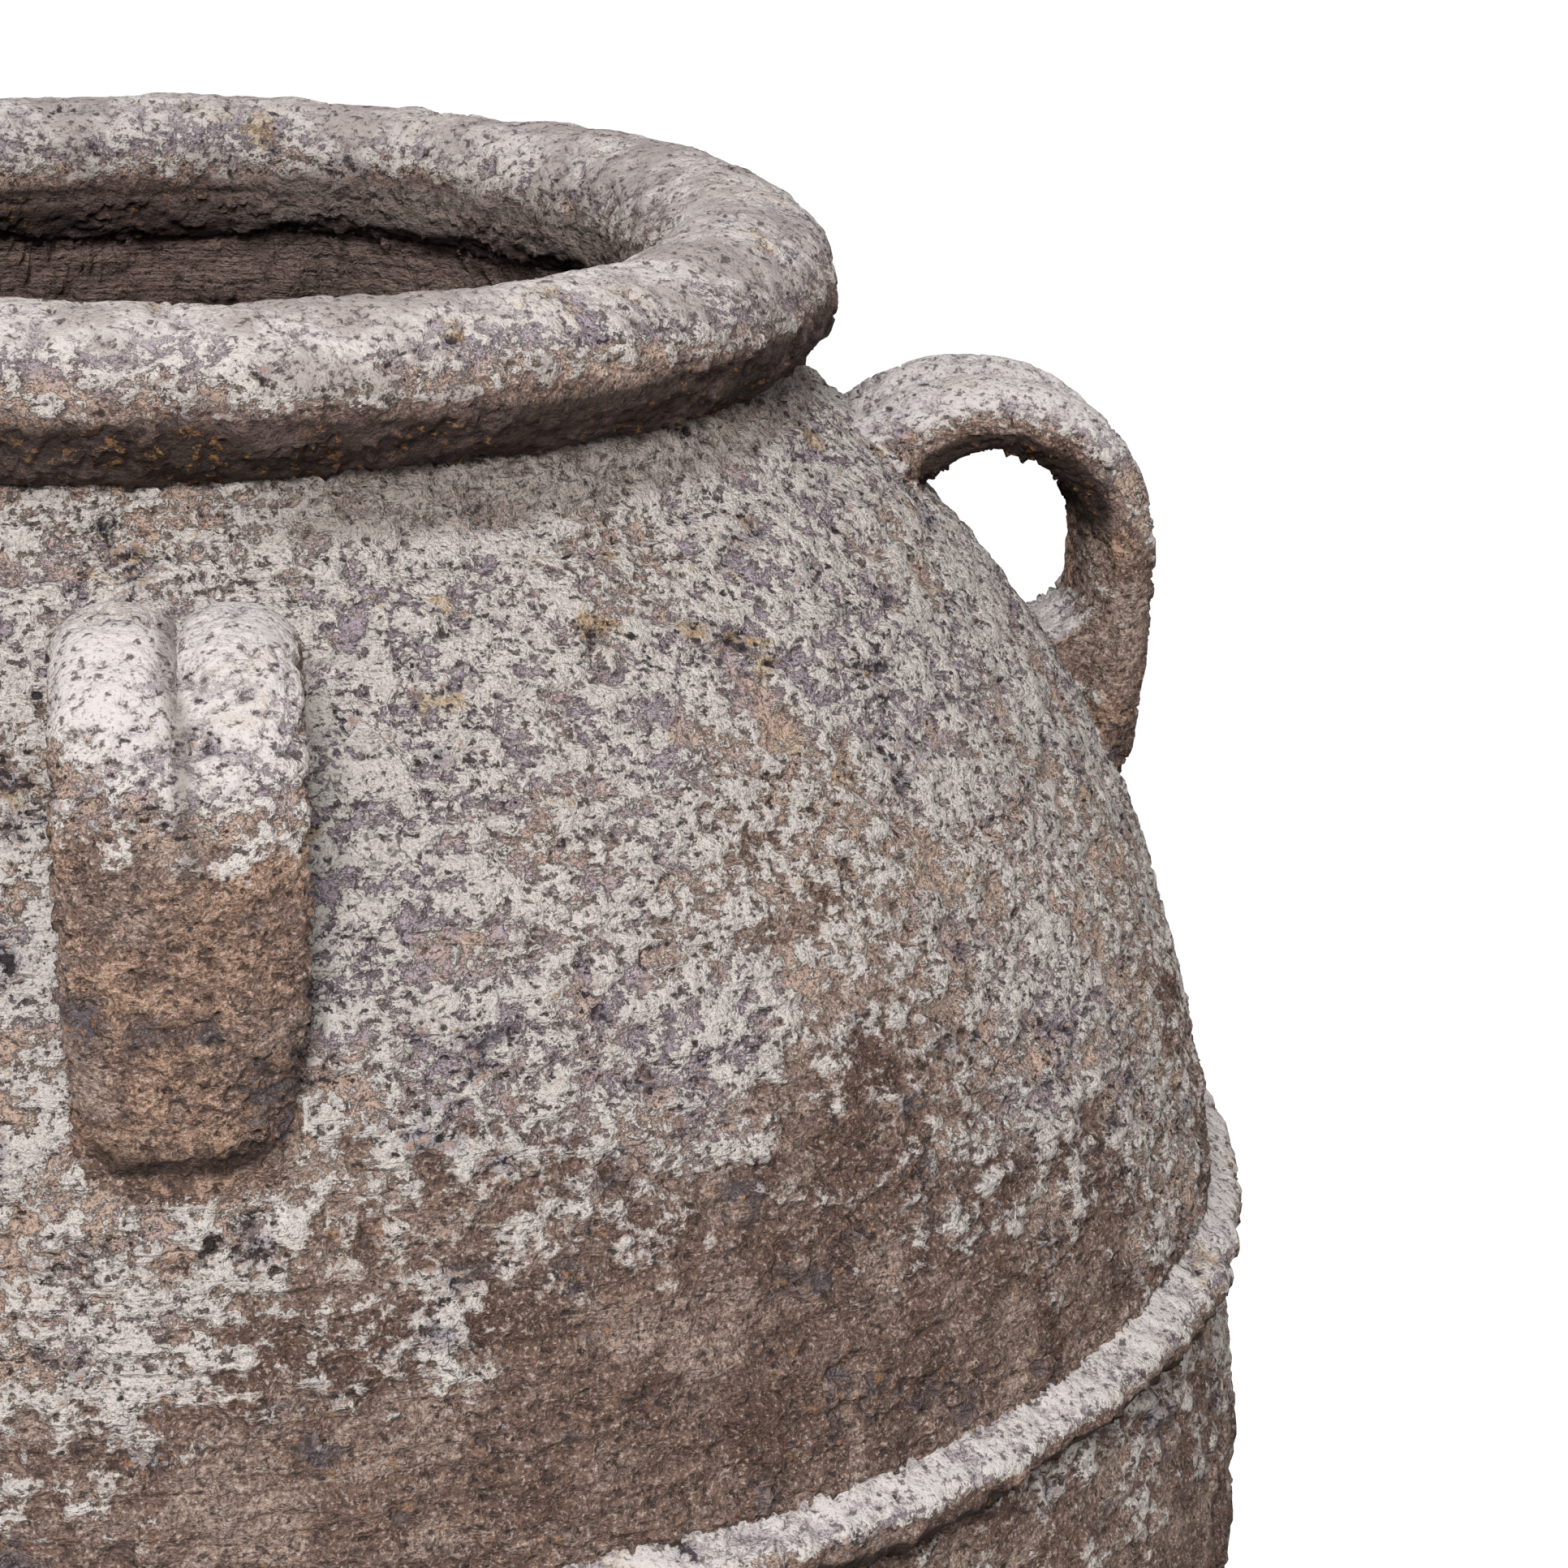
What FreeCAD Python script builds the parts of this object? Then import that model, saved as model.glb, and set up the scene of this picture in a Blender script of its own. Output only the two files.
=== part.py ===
"""Large four-handled storage jar (pithos) of coarse fired clay, built the way a potter builds it.

The jar grows in courses. A floor slab carries four wall courses, each with a raised key on its top
edge that the next course sits over. A plain band covers each of the three joints of the wall. A neck
ring closes the shoulder and carries the thick rolled rim. Four upright handles stand on the shoulder,
each made of two clay coils pressed side by side, with a wad of clay between its leg and the wall.

Frame: millimetres, +Z up along the axis of the jar, origin at the middle of the underside.
The front handle points along -Y, the right one along +X.
"""
import FreeCAD, Part
import math
import os

import Sketcher
from FreeCAD import Placement, Rotation, Vector

# Each row: name, value in millimetres (degrees for a turn, a plain ratio for a share), what it is.
SIZES = [
    ("slip_line", 0.3, "line of slip between two pieces that are luted together"),
    # Floor slab
    ("base_radius", 204.0, "floor slab, at the ground"),
    ("floor_thickness", 38.0, "floor slab"),
    ("base_round", 8.0, "rounding of the floor slab's lower edge"),
    # Height of each course, from the joint under it to the joint on it
    ("foot_course_height", 187.0, "floor slab to foot band"),
    ("lower_course_height", 240.0, "foot band to belly band"),
    ("belly_course_height", 250.0, "belly band to shoulder band"),
    ("shoulder_course_height", 293.0, "shoulder band to neck"),
    ("neck_ring_height", 34.0, "neck, up to the rolled rim"),
    # Outer radius and radial wall at each joint
    ("floor_joint_radius", 214.0, "wall at the top of the floor slab"),
    ("floor_joint_wall", 36.0, "radial wall there"),
    ("foot_joint_radius", 322.0, "wall at the foot band"),
    ("foot_joint_wall", 33.0, "radial wall there"),
    ("belly_joint_radius", 411.0, "wall at the belly band"),
    ("belly_joint_wall", 30.0, "radial wall there"),
    ("shoulder_joint_radius", 405.0, "wall at the shoulder band"),
    ("shoulder_joint_wall", 28.0, "radial wall there"),
    ("neck_joint_radius", 262.0, "wall between shoulder and neck"),
    ("neck_joint_wall", 36.0, "radial wall there"),
    ("neck_draw", 32.0, "how far the neck draws in from its foot to the rim's seat"),
    ("rim_joint_wall", 32.0, "radial wall at the rim's seat"),
    # How far the middle of each course stands out from the straight line between its joints
    ("foot_course_bow", 3.0, "foot course"),
    ("lower_course_bow", 10.0, "lower course"),
    ("belly_course_bow", 14.0, "belly course"),
    ("shoulder_course_bow", 34.0, "shoulder course"),
    ("neck_hollow", 3.5, "neck ring, drawn in instead of out"),
    # Key of each wall joint
    ("key_height", 9.0, "raised key on the top edge of a course"),
    ("key_root_width", 14.0, "key where it leaves the edge"),
    ("key_tip_width", 8.0, "key at its top"),
    # Rolled rim
    ("rim_width", 72.0, "rolled rim, from its inside to its outside"),
    ("rim_height", 61.5, "rolled rim, full oval"),
    ("rim_sink", 3.8, "part of the oval cut away where it sits on the neck"),
    # Bands
    ("band_height", 23.0, "band against the wall"),
    ("band_reach", 16.0, "band, how far it stands out"),
    ("band_nose_height", 16.0, "band at the start of its rounded nose"),
    ("band_nose_depth", 7.0, "depth of the rounded nose"),
    # Handles
    ("loop_out", 5.3, "face of the wall out to the middle of the handle's bend"),
    ("loop_drop", 45.0, "neck joint down to the middle of the handle's bend"),
    ("loop_radius", 55.0, "bend of the handle, to the middle of the coil"),
    ("root_turn", 150.0, "angle from level at which the bend has reached the wall"),
    ("leg_drop", 118.0, "middle of the bend down to the end of the leg"),
    ("toe_bury", 31.0, "end of the leg, in from the face of the wall"),
    ("toe_turn", -22.0, "lean of the end of the leg"),
    ("knee_drop_share", 0.36, "first section of the leg, down the leg"),
    ("knee_in_share", 0.06, "first section of the leg, in towards the end"),
    ("heel_drop_share", 0.68, "second section of the leg, down the leg"),
    ("heel_in_share", 0.29, "second section of the leg, in towards the end"),
    ("heel_turn", -5.0, "lean of the second section"),
    ("handle_width", 75.0, "both coils together"),
    ("root_flare_share", 0.95, "coil depth where it grows out of the wall, of its width there"),
    ("crown_depth_share", 0.77, "coil depth over the top of the bend, of its width there"),
    ("leg_depth", 25.0, "coil depth down the leg"),
    ("toe_taper", 17.0, "how much narrower both coils together are at the end of the leg"),
    ("crown_coil_share", 0.52, "one coil over the top, nearly round, of the handle's width"),
    ("leg_coil_share", 0.72, "one coil down the leg, pressed into its neighbour, of that width"),
    ("wad_drop", 43.0, "top of the wad at the wall, below the middle of the bend"),
    ("wad_cove", 24.0, "rise of the wad's coved top from the wall to the middle of the leg"),
    ("wad_cove_sag", 5.0, "rise halfway"),
    ("wad_depth", 40.0, "wad, before it is fitted to the wall"),
    ("wad_inset", 2.0, "wad's side, in from the edge of the leg's end"),
]

doc = FreeCAD.newDocument("lugged_jar")
sheet = doc.addObject("Spreadsheet::Sheet", "sizes")
for row, (name, number, remark) in enumerate(SIZES, start=1):
    sheet.set(f"A{row}", remark)
    sheet.set(f"B{row}", str(number))
    sheet.setAlias(f"B{row}", name)
doc.recompute()


def measure(expression):
    """The number that an expression over the sheet gives now."""
    return float(sheet.evalExpression(expression))


def origin_plane(body, role):
    """One of a body's own origin planes."""
    return next(o for o in body.Origin.OriginFeatures if o.Role == role)


def new_body(name):
    """An empty body whose label becomes the node's name."""
    body = doc.addObject("PartDesign::Body", name)
    body.Label = name
    return body


def new_sketch(body, name, role):
    """A sketch that lies on one of the body's own origin planes."""
    sketch = body.newObject("Sketcher::SketchObject", name)
    sketch.AttachmentSupport = [(origin_plane(body, role), "")]
    sketch.MapMode = "FlatFace"
    return sketch


def bind(sketch, index, expression):
    """Ties one dimension of a sketch to the sheet."""
    sketch.setExpression(f"Constraints[{index}]", expression)


def place_point(sketch, shape, point, across, up):
    """Fixes a point at two expressions, measured from the sketch's origin. Zero lies on the axis."""
    for kind, axis, expression in (("DistanceX", -2, across), ("DistanceY", -1, up)):
        if expression == "0":
            sketch.addConstraint(Sketcher.Constraint("PointOnObject", shape, point, axis))
        else:
            rule = Sketcher.Constraint(kind, -1, 1, shape, point, measure(expression))
            bind(sketch, sketch.addConstraint(rule), expression)


def arc_through(start, middle, end):
    """An anticlockwise arc over three points, and whether it runs from start to end."""
    circle = Part.Arc(start, middle, end).toShape().Curve
    centre = circle.Center
    forwards = (middle - start).cross(end - middle).z > 0
    first, last = (start, end) if forwards else (end, start)
    angles = [math.atan2(p.y - centre.y, p.x - centre.x) for p in (first, last)]
    flat = Part.Circle(centre, Vector(0, 0, 1), circle.Radius)
    return Part.ArcOfCircle(flat, *angles), forwards


def draw_outline(sketch, corners, bows=None):
    """A closed outline through corners. An edge named in bows is an arc over the point given there."""
    bows = bows or {}
    points = [Vector(measure(a), measure(u), 0) for a, u in corners]
    ends = []
    for edge, start in enumerate(points):
        end = points[(edge + 1) % len(points)]
        if edge in bows:
            middle = Vector(*(measure(e) for e in bows[edge]), 0)
            curve, forwards = arc_through(start, middle, end)
        else:
            curve, forwards = Part.LineSegment(start, end), True
        shape = sketch.addGeometry(curve, False)
        ends.append((shape, 1, 2) if forwards else (shape, 2, 1))
    for edge, (shape, _, last) in enumerate(ends):
        following, first, _ = ends[(edge + 1) % len(ends)]
        sketch.addConstraint(Sketcher.Constraint("Coincident", shape, last, following, first))
    for (shape, first, _), (across, up) in zip(ends, corners):
        place_point(sketch, shape, first, across, up)
    for edge, (across, up) in bows.items():
        mark = sketch.addGeometry(Part.Point(Vector(measure(across), measure(up), 0)), True)
        place_point(sketch, mark, 1, across, up)
        sketch.addConstraint(Sketcher.Constraint("PointOnObject", mark, 1, ends[edge][0]))


def turned_body(name, corners, bows=None):
    """A body turned about the jar's axis from an outline."""
    body = new_body(name)
    profile = new_sketch(body, name + "_profile", "XZ_Plane")
    draw_outline(profile, corners, bows)
    turned = body.newObject("PartDesign::Revolution", name + "_turned")
    turned.Profile = profile
    turned.ReferenceAxis = (profile, ["V_Axis"])
    turned.Angle = 360
    doc.recompute()
    return body


# Each joint of the wall, from the ground up, with the height of the piece under it.
JOINTS = {
    "floor": "sizes.floor_thickness",
    "foot": "sizes.foot_course_height",
    "belly": "sizes.lower_course_height",
    "shoulder": "sizes.belly_course_height",
    "neck": "sizes.shoulder_course_height",
    "rim": "sizes.neck_ring_height",
}


def joint_height(joint):
    """Height of a wall joint above the ground: the pieces under it, added up."""
    pieces = list(JOINTS.values())[:list(JOINTS).index(joint) + 1]
    return f"({' + '.join(pieces)})"


def joint_radius(joint):
    """Outer radius of the wall at a joint."""
    if joint == "rim":
        return "(sizes.neck_joint_radius - sizes.neck_draw)"
    return f"sizes.{joint}_joint_radius"


def key_corners(joint, gap):
    """The key's four corners, from the outside in. A gap lifts the face that sits over it."""
    middle = f"{joint_radius(joint)} - sizes.{joint}_joint_wall / 2"
    root = f"{joint_height(joint)} + {gap}"
    tip = f"{root} + sizes.key_height"
    wide = f"sizes.key_root_width / 2 + {gap}"
    narrow = f"sizes.key_tip_width / 2 + {gap}"
    return [
        (f"{middle} + {wide}", root),
        (f"{middle} + {narrow}", tip),
        (f"{middle} - ({narrow})", tip),
        (f"{middle} - ({wide})", root),
    ]


def edge_radii(joint):
    """Outer and inner radius of the wall at a joint."""
    outer = joint_radius(joint)
    return outer, f"{outer} - sizes.{joint}_joint_wall"


def bow_point(lower_radius, upper_radius, lower_height, upper_height, bow):
    """The point halfway up a stretch of wall, out from the straight line by the bow."""
    across = f"({lower_radius} + {upper_radius}) / 2 + {bow}"
    return across, f"({lower_height} + {upper_height}) / 2"


def has_band(joint):
    """Whether a band covers this joint. The wall is upright behind it."""
    return joint in ("foot", "belly", "shoulder")


def land_height(joint, side):
    """Where the upright land behind a band ends, above (+) or below (-) its joint."""
    return f"{joint_height(joint)} {side} sizes.band_height / 2"


def course(name, lower, upper, bow):
    """A wall course: grooved over the key below, keyed above, bowed alike inside and outside."""
    low, high = joint_height(lower), joint_height(upper)
    (low_out, low_in), (high_out, high_in) = edge_radii(lower), edge_radii(upper)
    foot = f"{low} + sizes.slip_line"
    corners = [(low_out, foot), *key_corners(lower, "sizes.slip_line"), (low_in, foot)]
    bows = {len(corners) - 1: bow_point(low_in, high_in, low, high, bow)}
    corners += [(high_in, high), *reversed(key_corners(upper, "0")), (high_out, high)]
    low_land, high_land = low, high
    if has_band(upper):
        high_land = land_height(upper, "-")
        corners.append((high_out, high_land))
    skin = len(corners) - 1
    if has_band(lower):
        low_land = land_height(lower, "+")
        corners.append((low_out, low_land))
    bows[skin] = bow_point(low_out, high_out, low_land, high_land, bow)
    return turned_body(name, corners, bows)


def floor_slab():
    """The thick disc that the jar stands on, keyed for the first course."""
    outer, _ = edge_radii("floor")
    keys = key_corners("floor", "0")
    top = joint_height("floor")
    corners = [("0", "0"), ("sizes.base_radius", "0"), (outer, top), *keys, ("0", top)]
    body = turned_body("floor_slab", corners)
    slab = body.Tip
    middle = measure(top) / 2
    ground = [
        f"Edge{i}" for i, e in enumerate(slab.Shape.Edges, start=1) if e.BoundBox.ZMax < middle
    ]
    rounding = body.newObject("PartDesign::Fillet", "base_rounding")
    rounding.Base = (slab, ground)
    rounding.setExpression("Radius", "sizes.base_round")
    doc.recompute()
    return body


def rim_roll():
    """The thick rolled rim: an oval cut level where it sits over the neck's key."""
    gap = "sizes.slip_line"
    seat = f"{joint_height('rim')} + {gap}"
    centre = f"{joint_radius('rim')} - sizes.rim_joint_wall / 2"
    middle = f"{seat} + sizes.rim_height / 2 - sizes.rim_sink"
    reach = "sizes.rim_width / 2 * sqrt(1 - (1 - 2 * sizes.rim_sink / sizes.rim_height) ^ 2)"
    corners = [
        (f"{centre} - {reach}", seat),
        *reversed(key_corners("rim", gap)),
        (f"{centre} + {reach}", seat),
    ]
    body = new_body("rim_roll")
    profile = new_sketch(body, "rim_profile", "XZ_Plane")
    points = [Vector(measure(a), measure(u), 0) for a, u in corners]
    hub = Vector(measure(centre), measure(middle), 0)
    wide = Vector(measure("sizes.rim_width / 2"), 0, 0)
    tall = Vector(0, measure("sizes.rim_height / 2"), 0)
    oval = Part.Ellipse(hub + wide, hub + tall, hub)
    skin = Part.ArcOfEllipse(oval, oval.parameter(points[-1]), oval.parameter(points[0]))
    arc = profile.addGeometry(skin, False)
    profile.exposeInternalGeometry(arc)
    long_axis, short_axis = arc + 1, arc + 2
    place_point(profile, arc, 3, centre, middle)
    profile.addConstraint(Sketcher.Constraint("Horizontal", long_axis))
    for axis, expression in ((long_axis, "sizes.rim_width"), (short_axis, "sizes.rim_height")):
        rule = Sketcher.Constraint("Distance", axis, measure(expression))
        bind(profile, profile.addConstraint(rule), expression)
    lines = [
        profile.addGeometry(Part.LineSegment(a, b), False) for a, b in zip(points, points[1:])
    ]
    profile.addConstraint(Sketcher.Constraint("Coincident", arc, 2, lines[0], 1))
    profile.addConstraint(Sketcher.Constraint("Coincident", arc, 1, lines[-1], 2))
    for line, following in zip(lines, lines[1:]):
        profile.addConstraint(Sketcher.Constraint("Coincident", line, 2, following, 1))
    for line, (across, up) in zip(lines[1:], corners[1:-1]):
        place_point(profile, line, 1, across, up)
    for line, point in ((lines[0], 1), (lines[-1], 2)):
        rule = Sketcher.Constraint("DistanceY", -1, 1, line, point, measure(seat))
        bind(profile, profile.addConstraint(rule), seat)
    turned = body.newObject("PartDesign::Revolution", "rim_turned")
    turned.Profile = profile
    turned.ReferenceAxis = (profile, ["V_Axis"])
    turned.Angle = 360
    doc.recompute()
    return body


def band(joint):
    """A raised band over a wall joint: level back, tapered faces and a rounded nose."""
    back = f"{joint_radius(joint)} + sizes.slip_line"
    height = joint_height(joint)
    shank = f"{joint_radius(joint)} + sizes.band_reach - sizes.band_nose_depth"
    nose = f"{joint_radius(joint)} + sizes.band_reach"
    corners = [
        (back, f"{height} - sizes.band_height / 2"),
        (shank, f"{height} - sizes.band_nose_height / 2"),
        (shank, f"{height} + sizes.band_nose_height / 2"),
        (back, f"{height} + sizes.band_height / 2"),
    ]
    return turned_body(f"{joint}_band", corners, {1: (nose, height)})


def cut_to_wall(body, name):
    """Cuts a handle piece to the outside of shoulder and neck, one line of slip clear of both."""
    gap = "sizes.slip_line"
    low, high, top = land_height("shoulder", "+"), joint_height("neck"), joint_height("rim")
    shoulder, neck, rim = (f"{joint_radius(j)} + {gap}" for j in ("shoulder", "neck", "rim"))
    corners = [("0", low), (shoulder, low), (neck, high), (rim, top), ("0", top)]
    bows = {
        1: bow_point(shoulder, neck, low, high, "sizes.shoulder_course_bow"),
        2: bow_point(neck, rim, high, top, "(-sizes.neck_hollow)"),
    }
    seat = new_sketch(body, name + "_seat", "YZ_Plane")
    draw_outline(seat, corners, bows)
    before = body.Shape.Volume
    fitted = body.newObject("PartDesign::Groove", name + "_fitted")
    fitted.Profile = seat
    fitted.ReferenceAxis = (seat, ["V_Axis"])
    fitted.Angle = 360
    doc.recompute()
    if not 0 < body.Shape.Volume < before:
        raise RuntimeError(f"{name} was not cut to the wall")


def shoulder_reach(height):
    """Radius of the shoulder's face at a height, near enough to set a handle against it."""
    low, high = land_height("shoulder", "+"), joint_height("neck")
    share = f"(({height} - ({low})) / ({high} - ({low})))"
    straight = f"{joint_radius('shoulder')} * (1 - {share}) + {joint_radius('neck')} * {share}"
    return f"({straight} + 4 * sizes.shoulder_course_bow * {share} * (1 - {share}))"


LOOP_HEIGHT = f"({joint_height('neck')} - sizes.loop_drop)"
LOOP_REACH = f"({shoulder_reach(LOOP_HEIGHT)} + sizes.loop_out)"
TOE_HEIGHT = f"({LOOP_HEIGHT} - sizes.leg_drop)"
TOE_WIDTH = "(sizes.handle_width - sizes.toe_taper)"


def leg_place(drop_share, in_share):
    """Reach and height of a section of the leg, by its shares of the way to the end."""
    start = f"({LOOP_REACH} + sizes.loop_radius)"
    end = f"({shoulder_reach(TOE_HEIGHT)} - sizes.toe_bury)"
    reach = f"{start} + {in_share} * ({end} - {start})"
    return reach, f"{LOOP_HEIGHT} - {drop_share} * sizes.leg_drop"


def coil_stations():
    """Sections of a coil from root to toe: reach, height, turn, depth, coil width, strap width."""
    round_width = "(sizes.crown_coil_share * sizes.handle_width)"
    crown = (f"sizes.crown_depth_share * {round_width}", round_width)
    leg = ("sizes.leg_depth", "sizes.leg_coil_share * sizes.handle_width")
    halfway = [f"({a} + {b}) / 2" for a, b in zip(crown, leg)]
    flare = f"sizes.root_flare_share * {round_width}"
    flared = f"({flare} + {crown[0]}) / 2"
    quarter = "90deg"
    root = "sizes.root_turn * 1deg"
    stations = []
    for turn, depth, width in (
        (root, flare, round_width),
        (f"({root} + {quarter}) / 2", flared, round_width),
        (quarter, *crown),
        (f"{quarter} * 2 / 3", *crown),
        (f"{quarter} / 3", *halfway),
        ("0deg", *leg),
    ):
        reach = f"{LOOP_REACH} + sizes.loop_radius * cos({turn})"
        height = f"{LOOP_HEIGHT} + sizes.loop_radius * sin({turn})"
        stations.append((reach, height, turn, depth, width, "sizes.handle_width"))
    narrowed = f"(sizes.handle_width + {TOE_WIDTH}) / 2"
    for drop_share, in_share, turn, strap in (
        ("sizes.knee_drop_share", "sizes.knee_in_share", "0deg", "sizes.handle_width"),
        ("sizes.heel_drop_share", "sizes.heel_in_share", "sizes.heel_turn * 1deg", narrowed),
        ("1", "1", "sizes.toe_turn * 1deg", TOE_WIDTH),
    ):
        stations.append((*leg_place(drop_share, in_share), turn, *leg, strap))
    return stations


def coil_section(body, name, station, side):
    """One oval section of a coil, square to the coil's run."""
    reach, height, turn, depth, width, strap = station
    sketch = new_sketch(body, name, "XY_Plane")
    sketch.AttachmentOffset = Placement(
        Vector(measure(reach), 0, measure(height)), Rotation(Vector(0, -1, 0), measure(turn)))
    sketch.setExpression(".AttachmentOffset.Base.x", reach)
    sketch.setExpression(".AttachmentOffset.Base.z", height)
    sketch.setExpression(".AttachmentOffset.Rotation.Angle", turn)
    offset = f"{side} * ({strap} - {width}) / 2"
    centre = Vector(0, measure(offset), 0)
    wide = Vector(0, measure(f"{-side} * {width} / 2"), 0)
    deep = Vector(measure(f"{side} * {depth} / 2"), 0, 0)
    oval = sketch.addGeometry(Part.Ellipse(centre + wide, centre + deep, centre), False)
    sketch.exposeInternalGeometry(oval)
    long_axis, short_axis = oval + 1, oval + 2
    place_point(sketch, oval, 3, "0", offset)
    sketch.addConstraint(Sketcher.Constraint("Vertical", long_axis))
    for axis, expression in ((long_axis, width), (short_axis, depth)):
        rule = Sketcher.Constraint("Distance", axis, measure(expression))
        bind(sketch, sketch.addConstraint(rule), expression)
    return sketch


def coil(name, side):
    """One coil of a handle: ovals joined along the loop, pressed flat at the seam, cut to the wall."""
    body = new_body(name)
    sections = [
        coil_section(body, f"{name}_section_{i}", station, side)
        for i, station in enumerate(coil_stations())
    ]
    loop = body.newObject("PartDesign::AdditiveLoft", name + "_loop")
    loop.Profile = sections[0]
    loop.Sections = sections[1:]
    doc.recompute()
    clear = "(sizes.loop_radius + sizes.handle_width)"
    inner, outer = f"{LOOP_REACH} - {clear}", f"{LOOP_REACH} + {clear}"
    foot, top = f"{TOE_HEIGHT} - {clear}", f"{LOOP_HEIGHT} + {clear}"
    press = new_sketch(body, name + "_press", "XZ_Plane")
    draw_outline(press, [(inner, foot), (outer, foot), (outer, top), (inner, top)])
    before = body.Shape.Volume
    seam = body.newObject("PartDesign::Pocket", name + "_seam")
    seam.Profile = press
    seam.setExpression("Length", "sizes.handle_width")
    seam.Reversed = side > 0
    doc.recompute()
    if not before / 2 < body.Shape.Volume < before:
        raise RuntimeError(f"{name} was not pressed flat at the seam")
    cut_to_wall(body, name)
    return body


def lower_wad(name, coils):
    """The clay pressed in between the leg of the strap and the wall: a wedge with a coved top."""
    body = new_body(name + "_wedge")
    heel, heel_height = leg_place("sizes.heel_drop_share", "sizes.heel_in_share")
    toe, toe_height = leg_place("1", "1")
    inner = f"{heel} - sizes.wad_depth"
    top = f"{LOOP_HEIGHT} - sizes.wad_drop"
    corners = [
        (inner, toe_height),
        (toe, toe_height),
        (heel, heel_height),
        (heel, f"{top} + sizes.wad_cove"),
        (inner, top),
    ]
    cove = (f"({heel} + {inner}) / 2", f"{top} + sizes.wad_cove_sag")
    face = new_sketch(body, name + "_face", "XZ_Plane")
    draw_outline(face, corners, {3: cove})
    wedge = body.newObject("PartDesign::Pad", name + "_pad")
    wedge.Profile = face
    wedge.Midplane = True
    wedge.setExpression("Length", f"{TOE_WIDTH} - 2 * sizes.wad_inset")
    doc.recompute()
    cut_to_wall(body, name)
    pair = doc.addObject("Part::MultiFuse", name + "_coils")
    pair.Shapes = coils
    wad = doc.addObject("Part::Cut", name)
    wad.Base = body
    wad.Tool = pair
    wad.Label = name
    doc.recompute()
    return wad


def turned_copy(name, original, angle):
    """The same piece again, turned about the jar's axis."""
    body = new_body(name)
    copy = body.newObject("PartDesign::FeatureBase", name + "_copy")
    copy.BaseFeature = original
    body.Placement = Placement(Vector(0, 0, 0), Rotation(Vector(0, 0, 1), angle))
    return body


def handles():
    """Four handles of three pieces each. The one on +X is modelled and the others are its copies."""
    coils = [coil("handle_right_left_coil", -1), coil("handle_right_right_coil", 1)]
    first = dict(zip(("left_coil", "right_coil"), coils))
    first["lower_wad"] = lower_wad("handle_right_lower_wad", coils)
    pieces = list(first.values())
    for quarter, place in enumerate(("back", "left", "front"), start=1):
        for part, original in first.items():
            pieces.append(turned_copy(f"handle_{place}_{part}", original, 90 * quarter))
    return pieces


def build():
    """Every piece of the jar, from the ground up."""
    pieces = [
        floor_slab(),
        course("foot_course", "floor", "foot", "sizes.foot_course_bow"),
        course("lower_course", "foot", "belly", "sizes.lower_course_bow"),
        course("belly_course", "belly", "shoulder", "sizes.belly_course_bow"),
        course("shoulder_course", "shoulder", "neck", "sizes.shoulder_course_bow"),
        course("neck_ring", "neck", "rim", "(-sizes.neck_hollow)"),
        rim_roll(),
        band("foot"),
        band("belly"),
        band("shoulder"),
    ]
    return pieces + handles()


def check(pieces):
    """Stops the build if any object failed or any piece isn't a valid solid."""
    for item in doc.Objects:
        if "Invalid" in item.State or "Error" in item.State:
            raise RuntimeError(f"{item.Name} failed: {item.State}")
    for piece in pieces:
        shape = piece.Shape
        if shape.isNull() or not shape.isValid() or not shape.Solids:
            raise RuntimeError(f"{piece.Label} is not a valid solid")


def main():
    """Builds, checks and writes the jar."""
    pieces = build()
    doc.recompute()
    check(pieces)
    os.makedirs("parts", exist_ok=True)
    for piece in pieces:
        piece.Shape.exportStep(f"parts/{piece.Label}.step")
        print(f"{piece.Label}: {len(piece.Shape.Solids)} solid, {piece.Shape.Volume / 1e6:.3f} litres")


main()
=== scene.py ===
"""Look of a large four-handled storage jar of coarse fired clay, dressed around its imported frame.

The jar's walls, rim and bands are outlines turned about its axis. Each handle is a field of distances
round two coils and the wad of clay under them, run into the wall and meshed. One weathering pattern,
read at the place of each point in the jar's own frame, raises the mineral crust on every mesh and
colours it in the material, so that pieces meet without a seam. Sizes in the classes are in millimetres
where nothing else is said. Meshes, and places in the scene, are in metres.
"""
import logging
import math
from collections.abc import Iterable, Sequence
from dataclasses import asdict, dataclass, replace
from enum import Enum

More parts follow.
